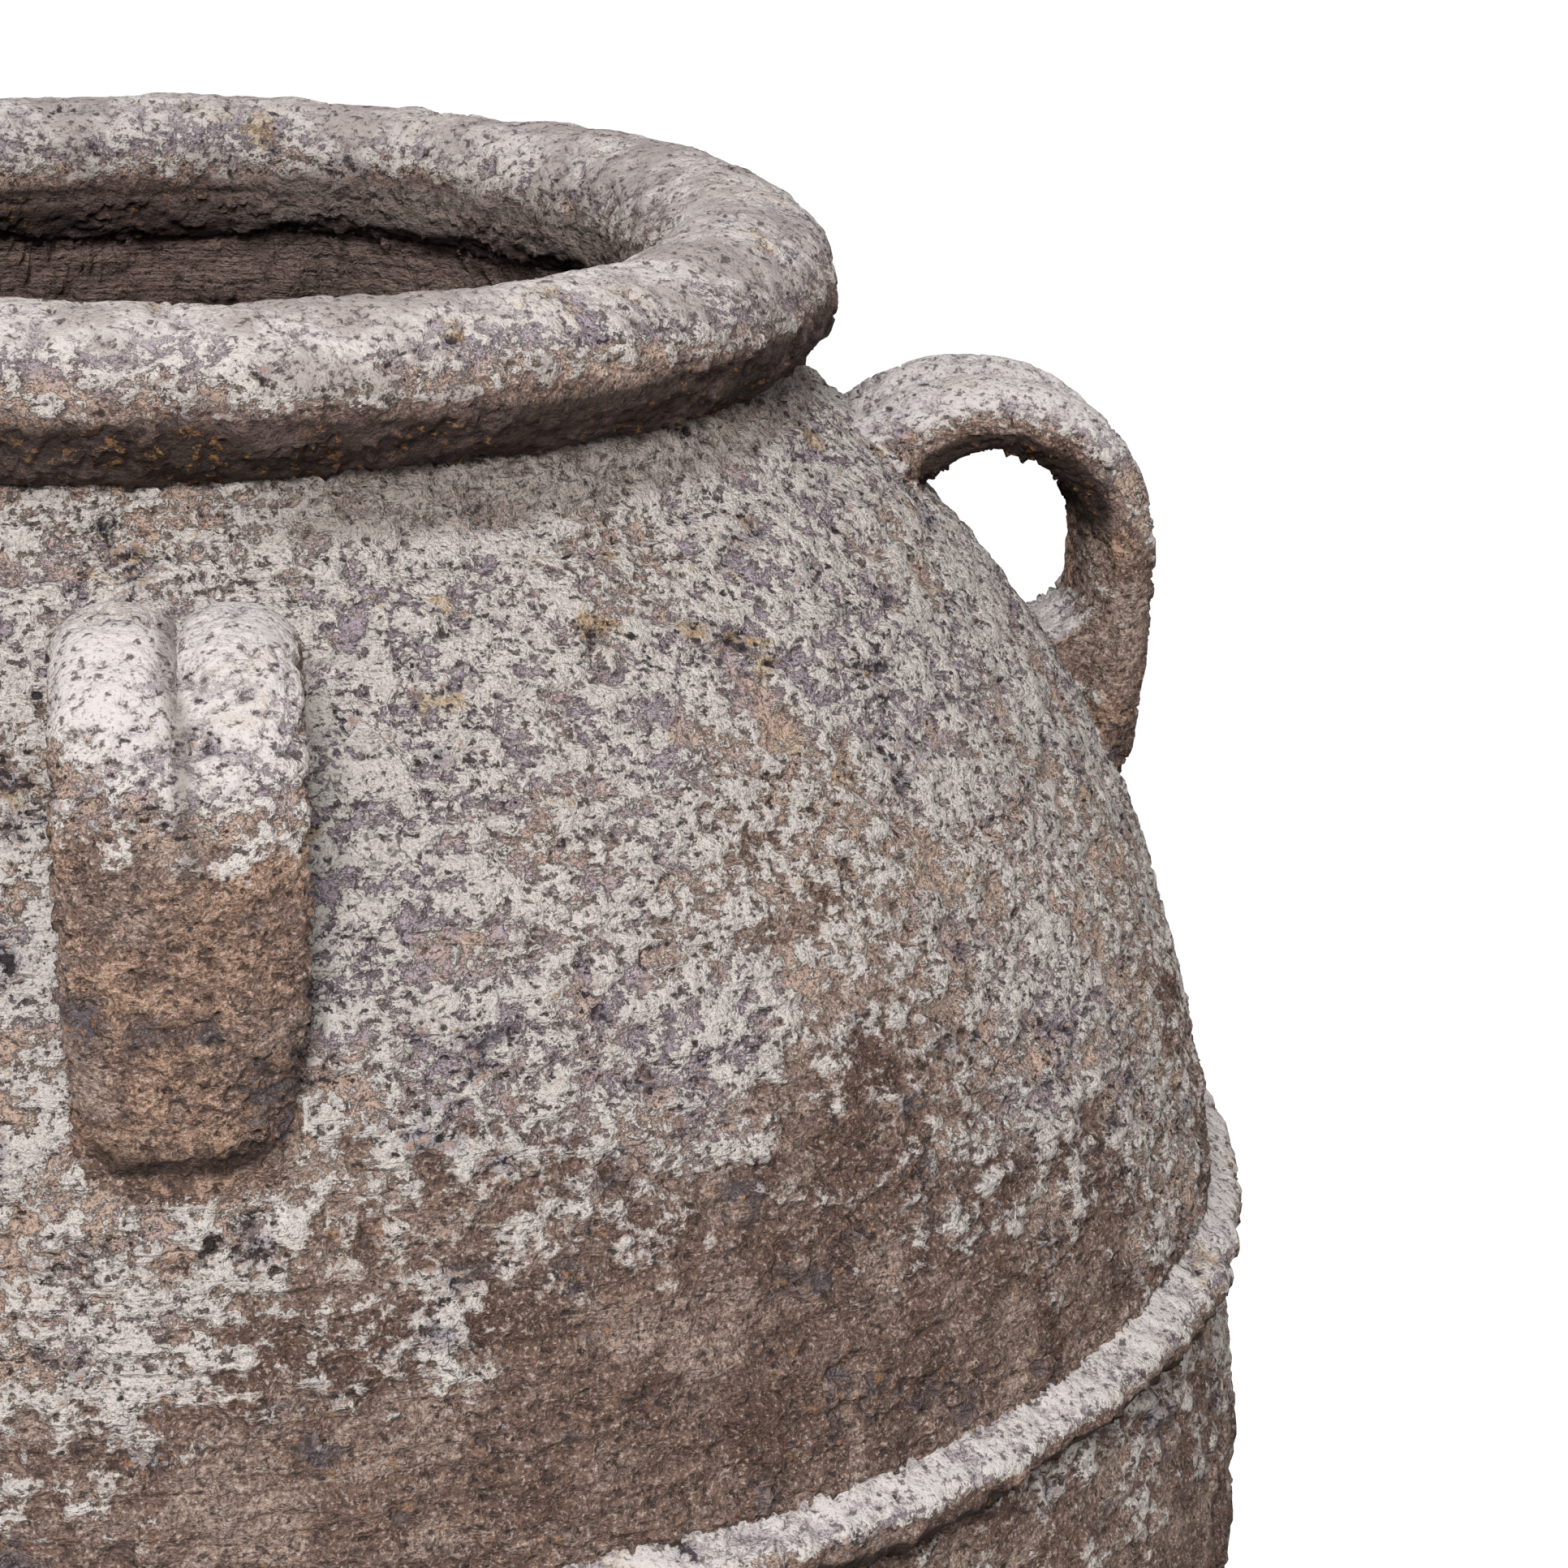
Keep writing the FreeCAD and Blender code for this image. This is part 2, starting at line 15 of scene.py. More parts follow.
import bmesh
import bpy
import numpy as np
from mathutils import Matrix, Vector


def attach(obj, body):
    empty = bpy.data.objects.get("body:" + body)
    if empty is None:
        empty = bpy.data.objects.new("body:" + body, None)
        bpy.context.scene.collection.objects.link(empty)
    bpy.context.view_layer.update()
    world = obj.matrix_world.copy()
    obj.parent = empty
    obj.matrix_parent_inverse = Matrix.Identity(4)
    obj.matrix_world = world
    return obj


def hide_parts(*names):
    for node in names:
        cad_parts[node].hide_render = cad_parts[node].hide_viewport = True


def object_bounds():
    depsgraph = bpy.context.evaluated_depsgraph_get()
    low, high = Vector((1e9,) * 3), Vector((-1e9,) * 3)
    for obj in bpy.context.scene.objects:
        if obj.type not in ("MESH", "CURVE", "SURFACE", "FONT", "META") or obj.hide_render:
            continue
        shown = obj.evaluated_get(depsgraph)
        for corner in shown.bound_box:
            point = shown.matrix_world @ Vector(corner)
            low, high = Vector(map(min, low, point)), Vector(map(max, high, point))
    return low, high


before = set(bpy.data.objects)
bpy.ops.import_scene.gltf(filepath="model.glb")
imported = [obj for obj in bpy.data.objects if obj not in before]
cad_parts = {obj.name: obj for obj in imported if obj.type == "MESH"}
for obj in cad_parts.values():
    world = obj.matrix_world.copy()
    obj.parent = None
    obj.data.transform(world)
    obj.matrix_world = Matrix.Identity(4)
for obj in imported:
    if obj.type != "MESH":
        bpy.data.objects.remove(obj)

import openvdb
from bpy.types import Material, NodeSocket, NodeTree, Object
from mathutils import Matrix, Vector

CAD_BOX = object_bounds()
LOG = logging.getLogger("jar")
MM = 0.001
BODY = "root"
FULL_TURN = 2 * math.pi
PATTERN_MIDDLE = 0.5
BOX_MARGIN_MM = 0.02
WELD_MM = 0.01
TINY = 1e-6

MATH = "ShaderNodeMath"
VECTOR = "ShaderNodeVectorMath"
RAMP = "ShaderNodeMapRange"

Point = tuple[float, float]
Triple = tuple[float, float, float]
Links = dict[str | int, object]
Weights = tuple[tuple[str, float], ...]


def add(tree: NodeTree, kind: str, links: Links | None = None,
        **settings: object) -> "NodeSocket | bpy.types.Node":
    """Adds a node with its settings, and sets or links its inputs.

    Args:
        tree: The node tree that gets the node.
        kind: The node's type name.
        links: What goes into its inputs, by name or place: a socket to link, or a value.
        settings: The node's own properties.

    Returns:
        The first output that is in use, or the node itself if it has no output.
    """
    node = tree.nodes.new(kind)
    for name, value in settings.items():
        setattr(node, name, value)
    for key, value in (links or {}).items():
        if isinstance(key, int):
            socket = node.inputs[key]
        else:
            socket = next(s for s in node.inputs if s.enabled and s.name == key)
        if isinstance(value, NodeSocket):
            tree.links.new(value, socket)
        else:
            socket.default_value = value
    return next((o for o in node.outputs if o.enabled), node)


def linear(hex_colour: str) -> tuple[float, float, float, float]:
    """Turns an sRGB hex colour to linear light.

    Args:
        hex_colour: Six hex digits with a leading hash.

    Returns:
        Red, green, blue and an alpha of one.
    """
    shades = [int(hex_colour[i:i + 2], 16) / 255 for i in (1, 3, 5)]
    return (*(s / 12.92 if s <= 0.04045 else ((s + 0.055) / 1.055) ** 2.4 for s in shades), 1.0)


def weigh(tree: NodeTree, signals: dict[str, object], parts: Weights) -> tuple[object, float]:
    """Adds up signals by weight.

    Args:
        tree: A geometry or shader tree.
        signals: Sockets by name.
        parts: The name and weight of each signal.

    Returns:
        The socket of the sum, and the sum's value where every noise is at its middle.
    """
    total: object = 0.0
    for name, weight in parts:
        total = add(tree, MATH, {0: signals[name], 1: weight, 2: total}, operation="MULTIPLY_ADD")
    noisy = {noise.name for noise in WEATHERING.noises}
    return total, sum(weight * PATTERN_MIDDLE for name, weight in parts if name in noisy)


@dataclass(frozen=True)
class Noise:
    """One noise of the weathering: the size of its largest shapes, and how far it is broken up.

    Its shapes are wider than high by the last number.
    """

    name: str
    size_mm: float
    detail: float
    rough: float
    flat: float = 1.35


@dataclass(frozen=True)
class Mask:
    """Where a mark lies: a weighted sum of signals, from none at its low end to full at its high."""

    name: str
    parts: Weights
    low: float
    high: float


@dataclass(frozen=True)
class Weathering:
    """How rain, salts and lichen have marked the clay. It drives both the relief and the colours.

    The crust keeps to what faces up, and thins out towards the steep low wall. Pale flakes lie on it, and
    dark pores (dirt and painted shadow) crowd where the crust is rotten. Clay that wet hands have smoothed
    is patched with tan and stained dark, and dark brown with painted shade where it faces down, most of all
    under the lip. One stretch low on the front is washed bare, placed in metres. A few larger pits are
    listed:
    centre in metres and radius in millimetres. The crumb breaks up their edges, which are given in radii.
    """

    noises: tuple[Noise, ...] = (
        Noise("sway", 170.0, 1.0, 0.55, 1.0),
        Noise("lumps", 38.0, 2.0, 0.55, 1.0),
        Noise("zone", 130.0, 5.0, 0.60),
        Noise("tint", 44.0, 6.0, 0.68),
        Noise("porous", 32.0, 6.0, 0.72),
        Noise("crumb", 12.0, 6.0, 0.70),
        Noise("pore", 4.0, 4.0, 0.66),
        Noise("wiping", 64.0, 3.0, 0.55, 14.0),
    )
    masks: tuple[Mask, ...] = (
        Mask("crust", (("upward", 1.0), ("spared", 0.26), ("zone", 1.0), ("crumb", 1.0)), 0.40, 0.50),
        Mask("cool", (("upward", 0.5), ("zone", 1.0), ("tint", 0.6)), 0.18, 0.36),
        # Painted shadow: a thin band just outside the edge of each pale flake.
        Mask("flake_edge_shadow", (("crumb", 1.5), ("pore", 1.1), ("tint", 0.7), ("upward", 0.18)), -0.03, 0.01),
        Mask("flake", (("crumb", 1.5), ("pore", 1.1), ("tint", 0.7), ("upward", 0.18)), 0.02, 0.08),
        Mask("lichen", (("porous", 1.0), ("tint", -0.9), ("crumb", 0.5), ("upward", 0.2)), 0.26, 0.36),
        Mask("rotten", (("porous", 1.0), ("upward", -0.04)), 0.02, 0.13),
        Mask("holes", (("pore", -1.0), ("porous", 0.95), ("crumb", -0.50), ("upward", -0.10)),
             0.08, 0.15),
        Mask("shrunk", (("zone", 1.0), ("porous", 0.6)), 0.05, 0.10),
        Mask("right", (("side", 1.0),), 0.0, 0.06),
        Mask("smoothed", (("upward", 1.0), ("calm", 1.0), ("tint", 1.8), ("crumb", 1.2)), 1.20, 1.85),
        Mask("lip", (("height", 1.0),), 1.036, 1.044),
        # Painted shade where the clay faces down, strongest under the lip, over clay that is dark brown
        # there.
        Mask("stain_and_shade_below", (("upward", -1.3), ("calm", 0.42), ("zone", 0.4), ("lip", 0.30)), 0.50, 1.00),
        Mask("patched", (("calm", 1.0), ("tint", 1.6), ("crumb", 0.8)), 1.00, 1.14),
        Mask("stained", (("calm", 1.0), ("porous", 1.6), ("crumb", 0.8)), 1.10, 1.24),
    )
    bare_place: Triple = (0.187, -0.345, 0.799)
    bare_reach: Point = (0.06, 0.26)
    pits: tuple[tuple[float, float, float, float], ...] = (
        (0.0061, -0.3772, 0.8396, 5.0),
        (-0.0484, -0.3022, 0.9569, 5.0),
        (-0.0219, -0.2342, 1.0335, 7.0),
        (0.1279, -0.2168, 1.0158, 5.0),
        (0.1600, -0.2010, 1.0140, 4.0),
    )
    pit_crumb: float = 4.0
    pit_edge: Point = (2.9, 2.4)

    def patterns(self, tree: NodeTree, place: NodeSocket, upward: NodeSocket,
                 calm: NodeSocket) -> dict[str, object]:
        """Adds the pattern's nodes to a tree of either kind.

        Args:
            tree: A geometry or shader tree.
            place: Socket of the place of a point in the jar's frame.
            upward: Socket of how far the smooth surface faces up, from -1 to 1.
            calm: Socket that is 1 on pieces smoothed by wet hands.

        Returns:
            Sockets by name: noises, masks from 0 to 1, and how far to the right and up a point is.
        """
        split = add(tree, "ShaderNodeSeparateXYZ", {0: place}).node.outputs
        signals = {"upward": upward, "calm": calm, "side": split["X"], "height": split["Z"]}
        for noise in self.noises:
            flat = add(tree, VECTOR, {0: place, 1: (1.0, 1.0, noise.flat)}, operation="MULTIPLY")
            signals[noise.name] = add(tree, "ShaderNodeTexNoise", {
                "Vector": flat, "Scale": 1 / (noise.size_mm * MM), "Detail": noise.detail,
                "Roughness": noise.rough})
        rough = add(tree, MATH, {0: 1.0, 1: calm}, operation="SUBTRACT")
        ridge = add(tree, MATH, {0: signals["wiping"], 1: PATTERN_MIDDLE}, operation="SUBTRACT")
        signals["ridges"] = add(tree, MATH, {0: ridge, 1: rough}, operation="MULTIPLY")
        away = add(tree, VECTOR, {0: place, 1: self.bare_place}, operation="DISTANCE")
        signals["spared"] = add(tree, RAMP, {
            "Value": away, "From Min": self.bare_reach[0], "From Max": self.bare_reach[1]})
        signals["dents"] = 0.0
        for *centre, radius in self.pits:
            away = add(tree, VECTOR, {0: place, 1: centre}, operation="DISTANCE")
            away = add(tree, MATH, {0: signals["crumb"], 1: self.pit_crumb * radius * MM, 2: away},
                       operation="MULTIPLY_ADD")
            outer, inner = (edge * radius * MM for edge in self.pit_edge)
            hole = add(tree, RAMP, {"Value": away, "From Min": outer, "From Max": inner})
            signals["dents"] = add(tree, MATH, {0: hole, 1: signals["dents"]}, operation="MAXIMUM")
        for mask in self.masks:
            total, middle = weigh(tree, signals, mask.parts)
            signals[mask.name] = add(tree, RAMP, {
                "Value": total, "From Min": middle + mask.low, "From Max": middle + mask.high},
                interpolation_type="SMOOTHSTEP")
        return signals


WEATHERING = Weathering()


@dataclass(frozen=True)
class Coat:
    """A colour that covers more and more as a signal runs from one level to another."""

    shade: str
    signal: str
    start: float
    end: float
    strength: float = 1.0
    within: str = ""


@dataclass(frozen=True)
class FiredClay:
    """Coarse unglazed terracotta, coil built and fired, then weathered for a long time.

    It gives the eye a dull, sandy body without any gloss, under flaking plates of pale lime and lichen.
    The sand in such clay is mostly too fine to show, so its grain is drawn coarser, at 1.5 mm. Cracks
    run about 55 mm apart where the crust has shrunk, and wander in shapes a third of that wide.
    """

    name: str = "terracotta_weathered_lichen_crust"
    clay: str = "#B69D90"
    coats: tuple[Coat, ...] = (
        Coat("#8C7165", "tint", 0.42, 0.56),
        Coat("#64493F", "lumps", 0.50, 0.60, 0.65),
        # Painted shade: darker in the troughs between the wiping ridges.
        Coat("#7A6054", "ridges", -0.02, -0.10, 0.60),
        Coat("#CDA890", "patched", 0.0, 1.0, 0.80),
        Coat("#5A4D4E", "stained", 0.0, 1.0, 0.80),
        # Painted shade and highlight over the sand's speckle: sunk grains darker, raised grains lighter.
        Coat("#5E4B43", "grain", 0.50, 0.38, 0.60),
        Coat("#E2CDBF", "grain", 0.54, 0.68, 0.60),
        Coat("#716C74", "rotten", 0.3, 1.0, 0.60),
        # Painted shade over dark brown clay wherever the clay faces down.
        Coat("#33251F", "stain_and_shade_below", 0.0, 0.9, 0.93),
        Coat("#D6B9A7", "crust", 0.0, 1.0, 0.95),
        Coat("#B3A8BA", "cool", 0.0, 1.0, 0.75, "crust"),
        # Painted shadow along the edges of the pale flakes.
        Coat("#5C504E", "flake_edge_shadow", 0.0, 1.0, 0.66, "crust"),
        Coat("#E6DDD6", "flake", 0.0, 1.0, 0.90, "crust"),
        Coat("#877E92", "rotten", 0.2, 1.0, 0.55, "crust"),
        Coat("#C9A566", "lichen", 0.0, 1.0, 0.50, "crust"),
        Coat("#C0894F", "pore", 0.56, 0.64, 0.55, "rotten"),
        # Painted shade of the rim: a grey-brown strip on the right of the neck just under the rim, over the
        # smoothed neck's own colour.
        Coat("#A3958D", "inside", 0.05, 0.40, 0.80, "right"),
        # Painted light: the hollow's brown clay is coloured lighter, to stand in for the light that reaches
        # in.
        Coat("#A98F85", "inside", 0.60, 0.90, 0.80),
        Coat("#2B2426", "crack", 0.014, 0.004, 0.70, "shrunk"),
        Coat("#C6BFBD", "smoothed", 0.0, 1.0, 0.80),
        Coat("#7E6A66", "tint", 0.44, 0.58, 0.50, "lip"),
        # Painted shade along the groove between a handle's two coils.
        Coat("#6E625E", "groove_shade", 0.1, 1.0, 0.60),
        # Partly dark pores, partly painted shade in the low spots of the fine relief.
        Coat("#463C3A", "pore", 0.46, 0.36, 0.82),
        Coat("#6A5F5C", "grain", 0.45, 0.34, 0.50, "crust"),
        # Dark holes in the crust: partly dirt, partly painted shadow.
        Coat("#3A3236", "holes", 0.0, 1.0, 0.85, "crust"),
        # Larger pits: partly dirt, partly painted shadow.
        Coat("#1F1A1B", "dents", 0.1, 0.8, 0.90),
    )
    bumps: Weights = (("crumb", 9.0), ("pore", 5.6), ("grain", 1.8), ("ridges", 10.0), ("flake", 1.6),
                      ("holes", -1.2))
    smoothed_bump: float = 0.5
    grain_mm: float = 1.5
    grain_detail: float = 2.0
    grain_rough: float = 0.6
    crack_mm: float = 55.0
    crack_waves: float = 3.0
    crack_detail: float = 3.0
    roughness: float = 0.96
    specular: float = 0.25

    def build(self) -> Material:
        """Makes the material.

        Returns:
            The node material of all clay pieces.
        """
        material = bpy.data.materials.new(self.name)
        material.use_nodes = True
        tree = material.node_tree
        tree.nodes.clear()
        place = add(tree, "ShaderNodeTexCoord").node.outputs["Object"]
        marks = {name: add(tree, "ShaderNodeAttribute", attribute_name=name).node.outputs["Fac"]
                 for name in ("upward", "calm", "inside", "groove_shade")}
        signals = marks | WEATHERING.patterns(tree, place, marks["upward"], marks["calm"])
        signals["grain"] = add(tree, "ShaderNodeTexNoise", {
            "Vector": place, "Scale": 1 / (self.grain_mm * MM), "Detail": self.grain_detail,
            "Roughness": self.grain_rough})
        wander = add(tree, "ShaderNodeTexNoise", {
            "Vector": place, "Scale": self.crack_waves / (self.crack_mm * MM),
            "Detail": self.crack_detail}).node.outputs["Color"]
        warped = add(tree, VECTOR, {0: wander, 1: (self.crack_mm * MM,) * 3, 2: place},
                     operation="MULTIPLY_ADD")
        signals["crack"] = add(tree, "ShaderNodeTexVoronoi", {
            "Vector": warped, "Scale": 1 / (self.crack_mm * MM)}, feature="DISTANCE_TO_EDGE")

        colour: object = linear(self.clay)
        for coat in self.coats:
            amount = add(tree, RAMP, {
                "Value": signals[coat.signal], "From Min": coat.start, "From Max": coat.end,
                "To Max": coat.strength}, interpolation_type="SMOOTHSTEP")
            if coat.within:
                amount = add(tree, MATH, {0: amount, 1: signals[coat.within]}, operation="MULTIPLY")
            colour = add(tree, "ShaderNodeMix", {
                "Factor": amount, "A": colour, "B": linear(coat.shade)}, data_type="RGBA")
        strength = add(tree, RAMP, {
            "Value": signals["smoothed"], "To Min": 1.0, "To Max": self.smoothed_bump})
        bump = add(tree, "ShaderNodeBump", {
            "Strength": strength, "Distance": MM, "Height": weigh(tree, signals, self.bumps)[0]})
        shader = add(tree, "ShaderNodeBsdfPrincipled", {
            "Base Color": colour, "Roughness": self.roughness, "Specular IOR Level": self.specular,
            "Normal": bump})
        add(tree, "ShaderNodeOutputMaterial", {"Surface": shader})
        return material


@dataclass(frozen=True)
class Texture:
    """How rough a piece is: how far each signal of the weathering moves its skin, in millimetres."""

    sway: float = 14.0
    lumps: float = 6.4
    crumb: float = 7.0
    ridges: float = 4.0
    flake: float = 1.6
    holes: float = -1.4
    dents: float = -5.0

    def inputs(self) -> dict[str, float]:
        """The relief's inputs in metres, by name."""
        return {name: value * MM for name, value in asdict(self).items()}


def new_tree(name: str, inputs: dict[str, str]) -> NodeTree:
    """A geometry tree that takes a mesh and gives one.

    Args:
        name: The tree's name.
        inputs: Its other inputs: the kind of socket by name.

    Returns:
        The tree, still without nodes.
    """
    tree = bpy.data.node_groups.new(name, "GeometryNodeTree")
    tree.interface.new_socket("Geometry", in_out="OUTPUT", socket_type="NodeSocketGeometry")
    for label, kind in {"Geometry": "NodeSocketGeometry", **inputs}.items():
        tree.interface.new_socket(label, in_out="INPUT", socket_type=kind)
    return tree


class Relief:
    """The geometry nodes that roughen a smooth skin of clay, shared by every piece."""

    def __init__(self) -> None:
        """Makes the node group."""
        inputs = {name: "NodeSocketFloat" for name in (*Texture.__dataclass_fields__, "Calm")}
        inputs |= {name: "NodeSocketVector" for name in ("Low corner", "High corner")}
        self.group = new_tree("clay_relief", inputs)
        self._fill()

    def _fill(self) -> None:
        """Adds the nodes: attributes of the smooth skin, the push along its normal, and the limits."""
        tree = self.group
        given = tree.nodes.new("NodeGroupInput").outputs
        normal = add(tree, "GeometryNodeInputNormal")
        place = add(tree, "GeometryNodeInputPosition")
        lift = add(tree, "ShaderNodeSeparateXYZ", {0: normal}).node.outputs["Z"]
        skin = given["Geometry"]
        for name, value in (("upward", lift), ("calm", given["Calm"])):
            skin = add(tree, "GeometryNodeStoreNamedAttribute", {
                "Geometry": skin, "Name": name, "Value": value}, data_type="FLOAT", domain="POINT")
        upward = add(tree, "GeometryNodeInputNamedAttribute", {"Name": "upward"}, data_type="FLOAT")
        worn = WEATHERING.patterns(tree, place, upward, given["Calm"])
        noisy = {noise.name for noise in WEATHERING.noises}
        total: object = 0.0
        for name in Texture.__dataclass_fields__:
            level = add(tree, MATH, {0: worn[name], 1: PATTERN_MIDDLE * (name in noisy)},
                        operation="SUBTRACT")
            total = add(tree, MATH, {0: level, 1: given[name], 2: total}, operation="MULTIPLY_ADD")
        push = add(tree, VECTOR, {0: normal, "Scale": total}, operation="SCALE")
        moved = add(tree, "GeometryNodeSetPosition", {"Geometry": skin, "Offset": push})
        kept = add(tree, "GeometryNodeInputPosition")
        for corner, limit in (("Low corner", "MAXIMUM"), ("High corner", "MINIMUM")):
            kept = add(tree, VECTOR, {0: kept, 1: given[corner]}, operation=limit)
        held = add(tree, "GeometryNodeSetPosition", {"Geometry": moved, "Position": kept})
        smooth = add(tree, "GeometryNodeSetShadeSmooth", {"Geometry": held})
        tree.links.new(smooth, tree.nodes.new("NodeGroupOutput").inputs["Geometry"])


class Tree(Enum):
    """The two kinds of geometry tree: one turns an outline first, one takes a mesh as it is."""

    TURNED = "turned_clay"
    MESHED = "meshed_clay"


class Workshop:
    """Makes clay pieces: runs a geometry tree on an object and turns the result to a plain mesh."""

    def __init__(self, clay: Material) -> None:
        """Makes the trees.

        Args:
            clay: The material of every clay piece.
        """
        self.clay = clay
        self.relief = Relief()
        self.trees = {kind: self._tree(kind) for kind in Tree}

    def _tree(self, kind: Tree) -> NodeTree:
        """One tree, with the relief's inputs and, for a turned piece, those of the turning.

        Args:
            kind: Which of the two.

        Returns:
            The finished tree.
        """
        inputs = {item.name: item.socket_type for item in self.relief.group.interface.items_tree
                  if item.in_out == "INPUT"}
        inputs["Material"] = "NodeSocketMaterial"
        if kind is Tree.TURNED:
            inputs |= {"Segments": "NodeSocketInt", "Wrap": "NodeSocketInt",
                       "Start": "NodeSocketFloat", "Sweep": "NodeSocketFloat"}
        tree = new_tree(kind.value, inputs)
        given = tree.nodes.new("NodeGroupInput").outputs
        skin = given["Geometry"] if kind is Tree.MESHED else self._turned(tree, given)
        group = tree.nodes.new("GeometryNodeGroup")
        group.node_tree = self.relief.group
        tree.links.new(skin, group.inputs["Geometry"])
        for socket in group.inputs:
            if socket.name != "Geometry":
                tree.links.new(given[socket.name], socket)
        real = add(tree, "GeometryNodeRealizeInstances", {"Geometry": group.outputs["Geometry"]})
        done = add(tree, "GeometryNodeSetMaterial", {"Geometry": real, "Material": given["Material"]})
        tree.links.new(done, tree.nodes.new("NodeGroupOutput").inputs["Geometry"])
        return tree

    @staticmethod
    def _turned(tree: NodeTree, given: "bpy.types.NodeOutputs") -> NodeSocket:
        """Turns an outline about the axis: a grid whose rows take the outline's points in order.

        Args:
            tree: The tree that gets the nodes.
            given: The outputs of the tree's group input.

        Returns:
            The socket of the turned mesh, whose poles and seams are merged.
        """
        count = add(tree, "GeometryNodeAttributeDomainSize", {"Geometry": given["Geometry"]})
        columns = add(tree, MATH, {0: given["Segments"], 1: 1.0}, operation="ADD")
        rows = add(tree, MATH, {0: count, 1: given["Wrap"]}, operation="ADD")
        grid = add(tree, "GeometryNodeMeshGrid", {"Vertices X": columns, "Vertices Y": rows})
        index = add(tree, "GeometryNodeInputIndex")
        row = add(tree, MATH, {0: index, 1: rows}, operation="MODULO")
        column = add(tree, MATH, {0: index, 1: rows}, operation="DIVIDE")
        column = add(tree, MATH, {0: column}, operation="FLOOR")
        source = add(tree, MATH, {0: row, 1: count}, operation="MODULO")
        inside = add(tree, "GeometryNodeInputNamedAttribute", {"Name": "inside"}, data_type="FLOAT")
        outline, marks = [
            add(tree, "GeometryNodeSampleIndex", {"Geometry": given["Geometry"], "Value": value,
                                                  "Index": source}, data_type=kind)
            for value, kind in ((add(tree, "GeometryNodeInputPosition"), "FLOAT_VECTOR"),
                                (inside, "FLOAT"))
        ]
        share = add(tree, MATH, {0: column, 1: given["Segments"]}, operation="DIVIDE")
        angle = add(tree, MATH, {0: share, 1: given["Sweep"], 2: given["Start"]},
                    operation="MULTIPLY_ADD")
        place = add(tree, "ShaderNodeVectorRotate", {"Vector": outline, "Angle": angle},
                    rotation_type="Z_AXIS")
        turned = add(tree, "GeometryNodeSetPosition", {"Geometry": grid, "Position": place})
        marked = add(tree, "GeometryNodeStoreNamedAttribute", {
            "Geometry": turned, "Name": "inside", "Value": marks}, data_type="FLOAT", domain="POINT")
        return add(tree, "GeometryNodeMergeByDistance", {"Geometry": marked, "Distance": WELD_MM * MM})

    def bake(self, piece: Object, kind: Tree, texture: Texture, **extra: object) -> None:
        """Runs a tree on an object and keeps the result as its plain mesh.

        Args:
            piece: The object, whose mesh is the outline or the smooth skin.
            kind: Which tree.
            texture: How rough the piece is.
            extra: Further inputs of the tree, by name.
        """
        tree = self.trees[kind]
        margin = Vector((BOX_MARGIN_MM,) * 3) * MM
        values = {"Material": self.clay, "Low corner": CAD_BOX[0] + margin,
                  "High corner": CAD_BOX[1] - margin, **texture.inputs(), **extra}
        values["Low corner"].z = CAD_BOX[0].z
        modifier = piece.modifiers.new("build", "NODES")
        modifier.node_group = tree
        for item in tree.interface.items_tree:
            if item.in_out == "INPUT" and item.name in values:
                modifier[item.identifier] = values[item.name]
        evaluated = piece.evaluated_get(bpy.context.evaluated_depsgraph_get())
        mesh = bpy.data.meshes.new_from_object(evaluated)
        piece.modifiers.clear()
        old, piece.data = piece.data, mesh
        bpy.data.meshes.remove(old)
        mesh.name = piece.name

    def place(self, piece: Object, *nodes: str) -> None:
        """Makes a finished piece ride on the jar and stand for its CAD nodes.

        Args:
            piece: The finished piece.
            nodes: The CAD nodes that it stands for.
        """
        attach(piece, BODY)
        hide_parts(*nodes)
        size = [max(v) - min(v) for v in zip(*(piece.matrix_world @ Vector(c) for c in piece.bound_box))]
        LOG.info("%s: %d faces, %s mm", piece.name, len(piece.data.polygons),
                 " x ".join(f"{s / MM:.0f}" for s in size))


def new_piece(name: str, points: np.ndarray, edges: Iterable[tuple[int, int]] = (),
              faces: Iterable[Sequence[int]] = ()) -> Object:
    """A new object with a mesh.

    Args:
        name: The piece's name.
        points: Its points in metres, one row each.
        edges: Pairs of point numbers.
        faces: Lists of point numbers.

    Returns:
        The object, linked to the scene and at the origin.
    """
    mesh = bpy.data.meshes.new(name)
    mesh.from_pydata(np.asarray(points).tolist(), list(edges), list(faces))
    piece = bpy.data.objects.new(name, mesh)
    bpy.context.scene.collection.objects.link(piece)
    return piece


def mark_points(piece: Object, name: str, values: Sequence[float]) -> None:
    """Keeps a number for each point of a piece, as a named attribute."""
    mark = piece.data.attributes.new(name, "FLOAT", "POINT")
    mark.data.foreach_set("value", np.array(values, np.float32))


def halfway(start: Point, end: Point, bow: float) -> Point:
    """The middle of a stretch, moved out by its bow."""
    return (start[0] + end[0]) / 2 + bow, (start[1] + end[1]) / 2


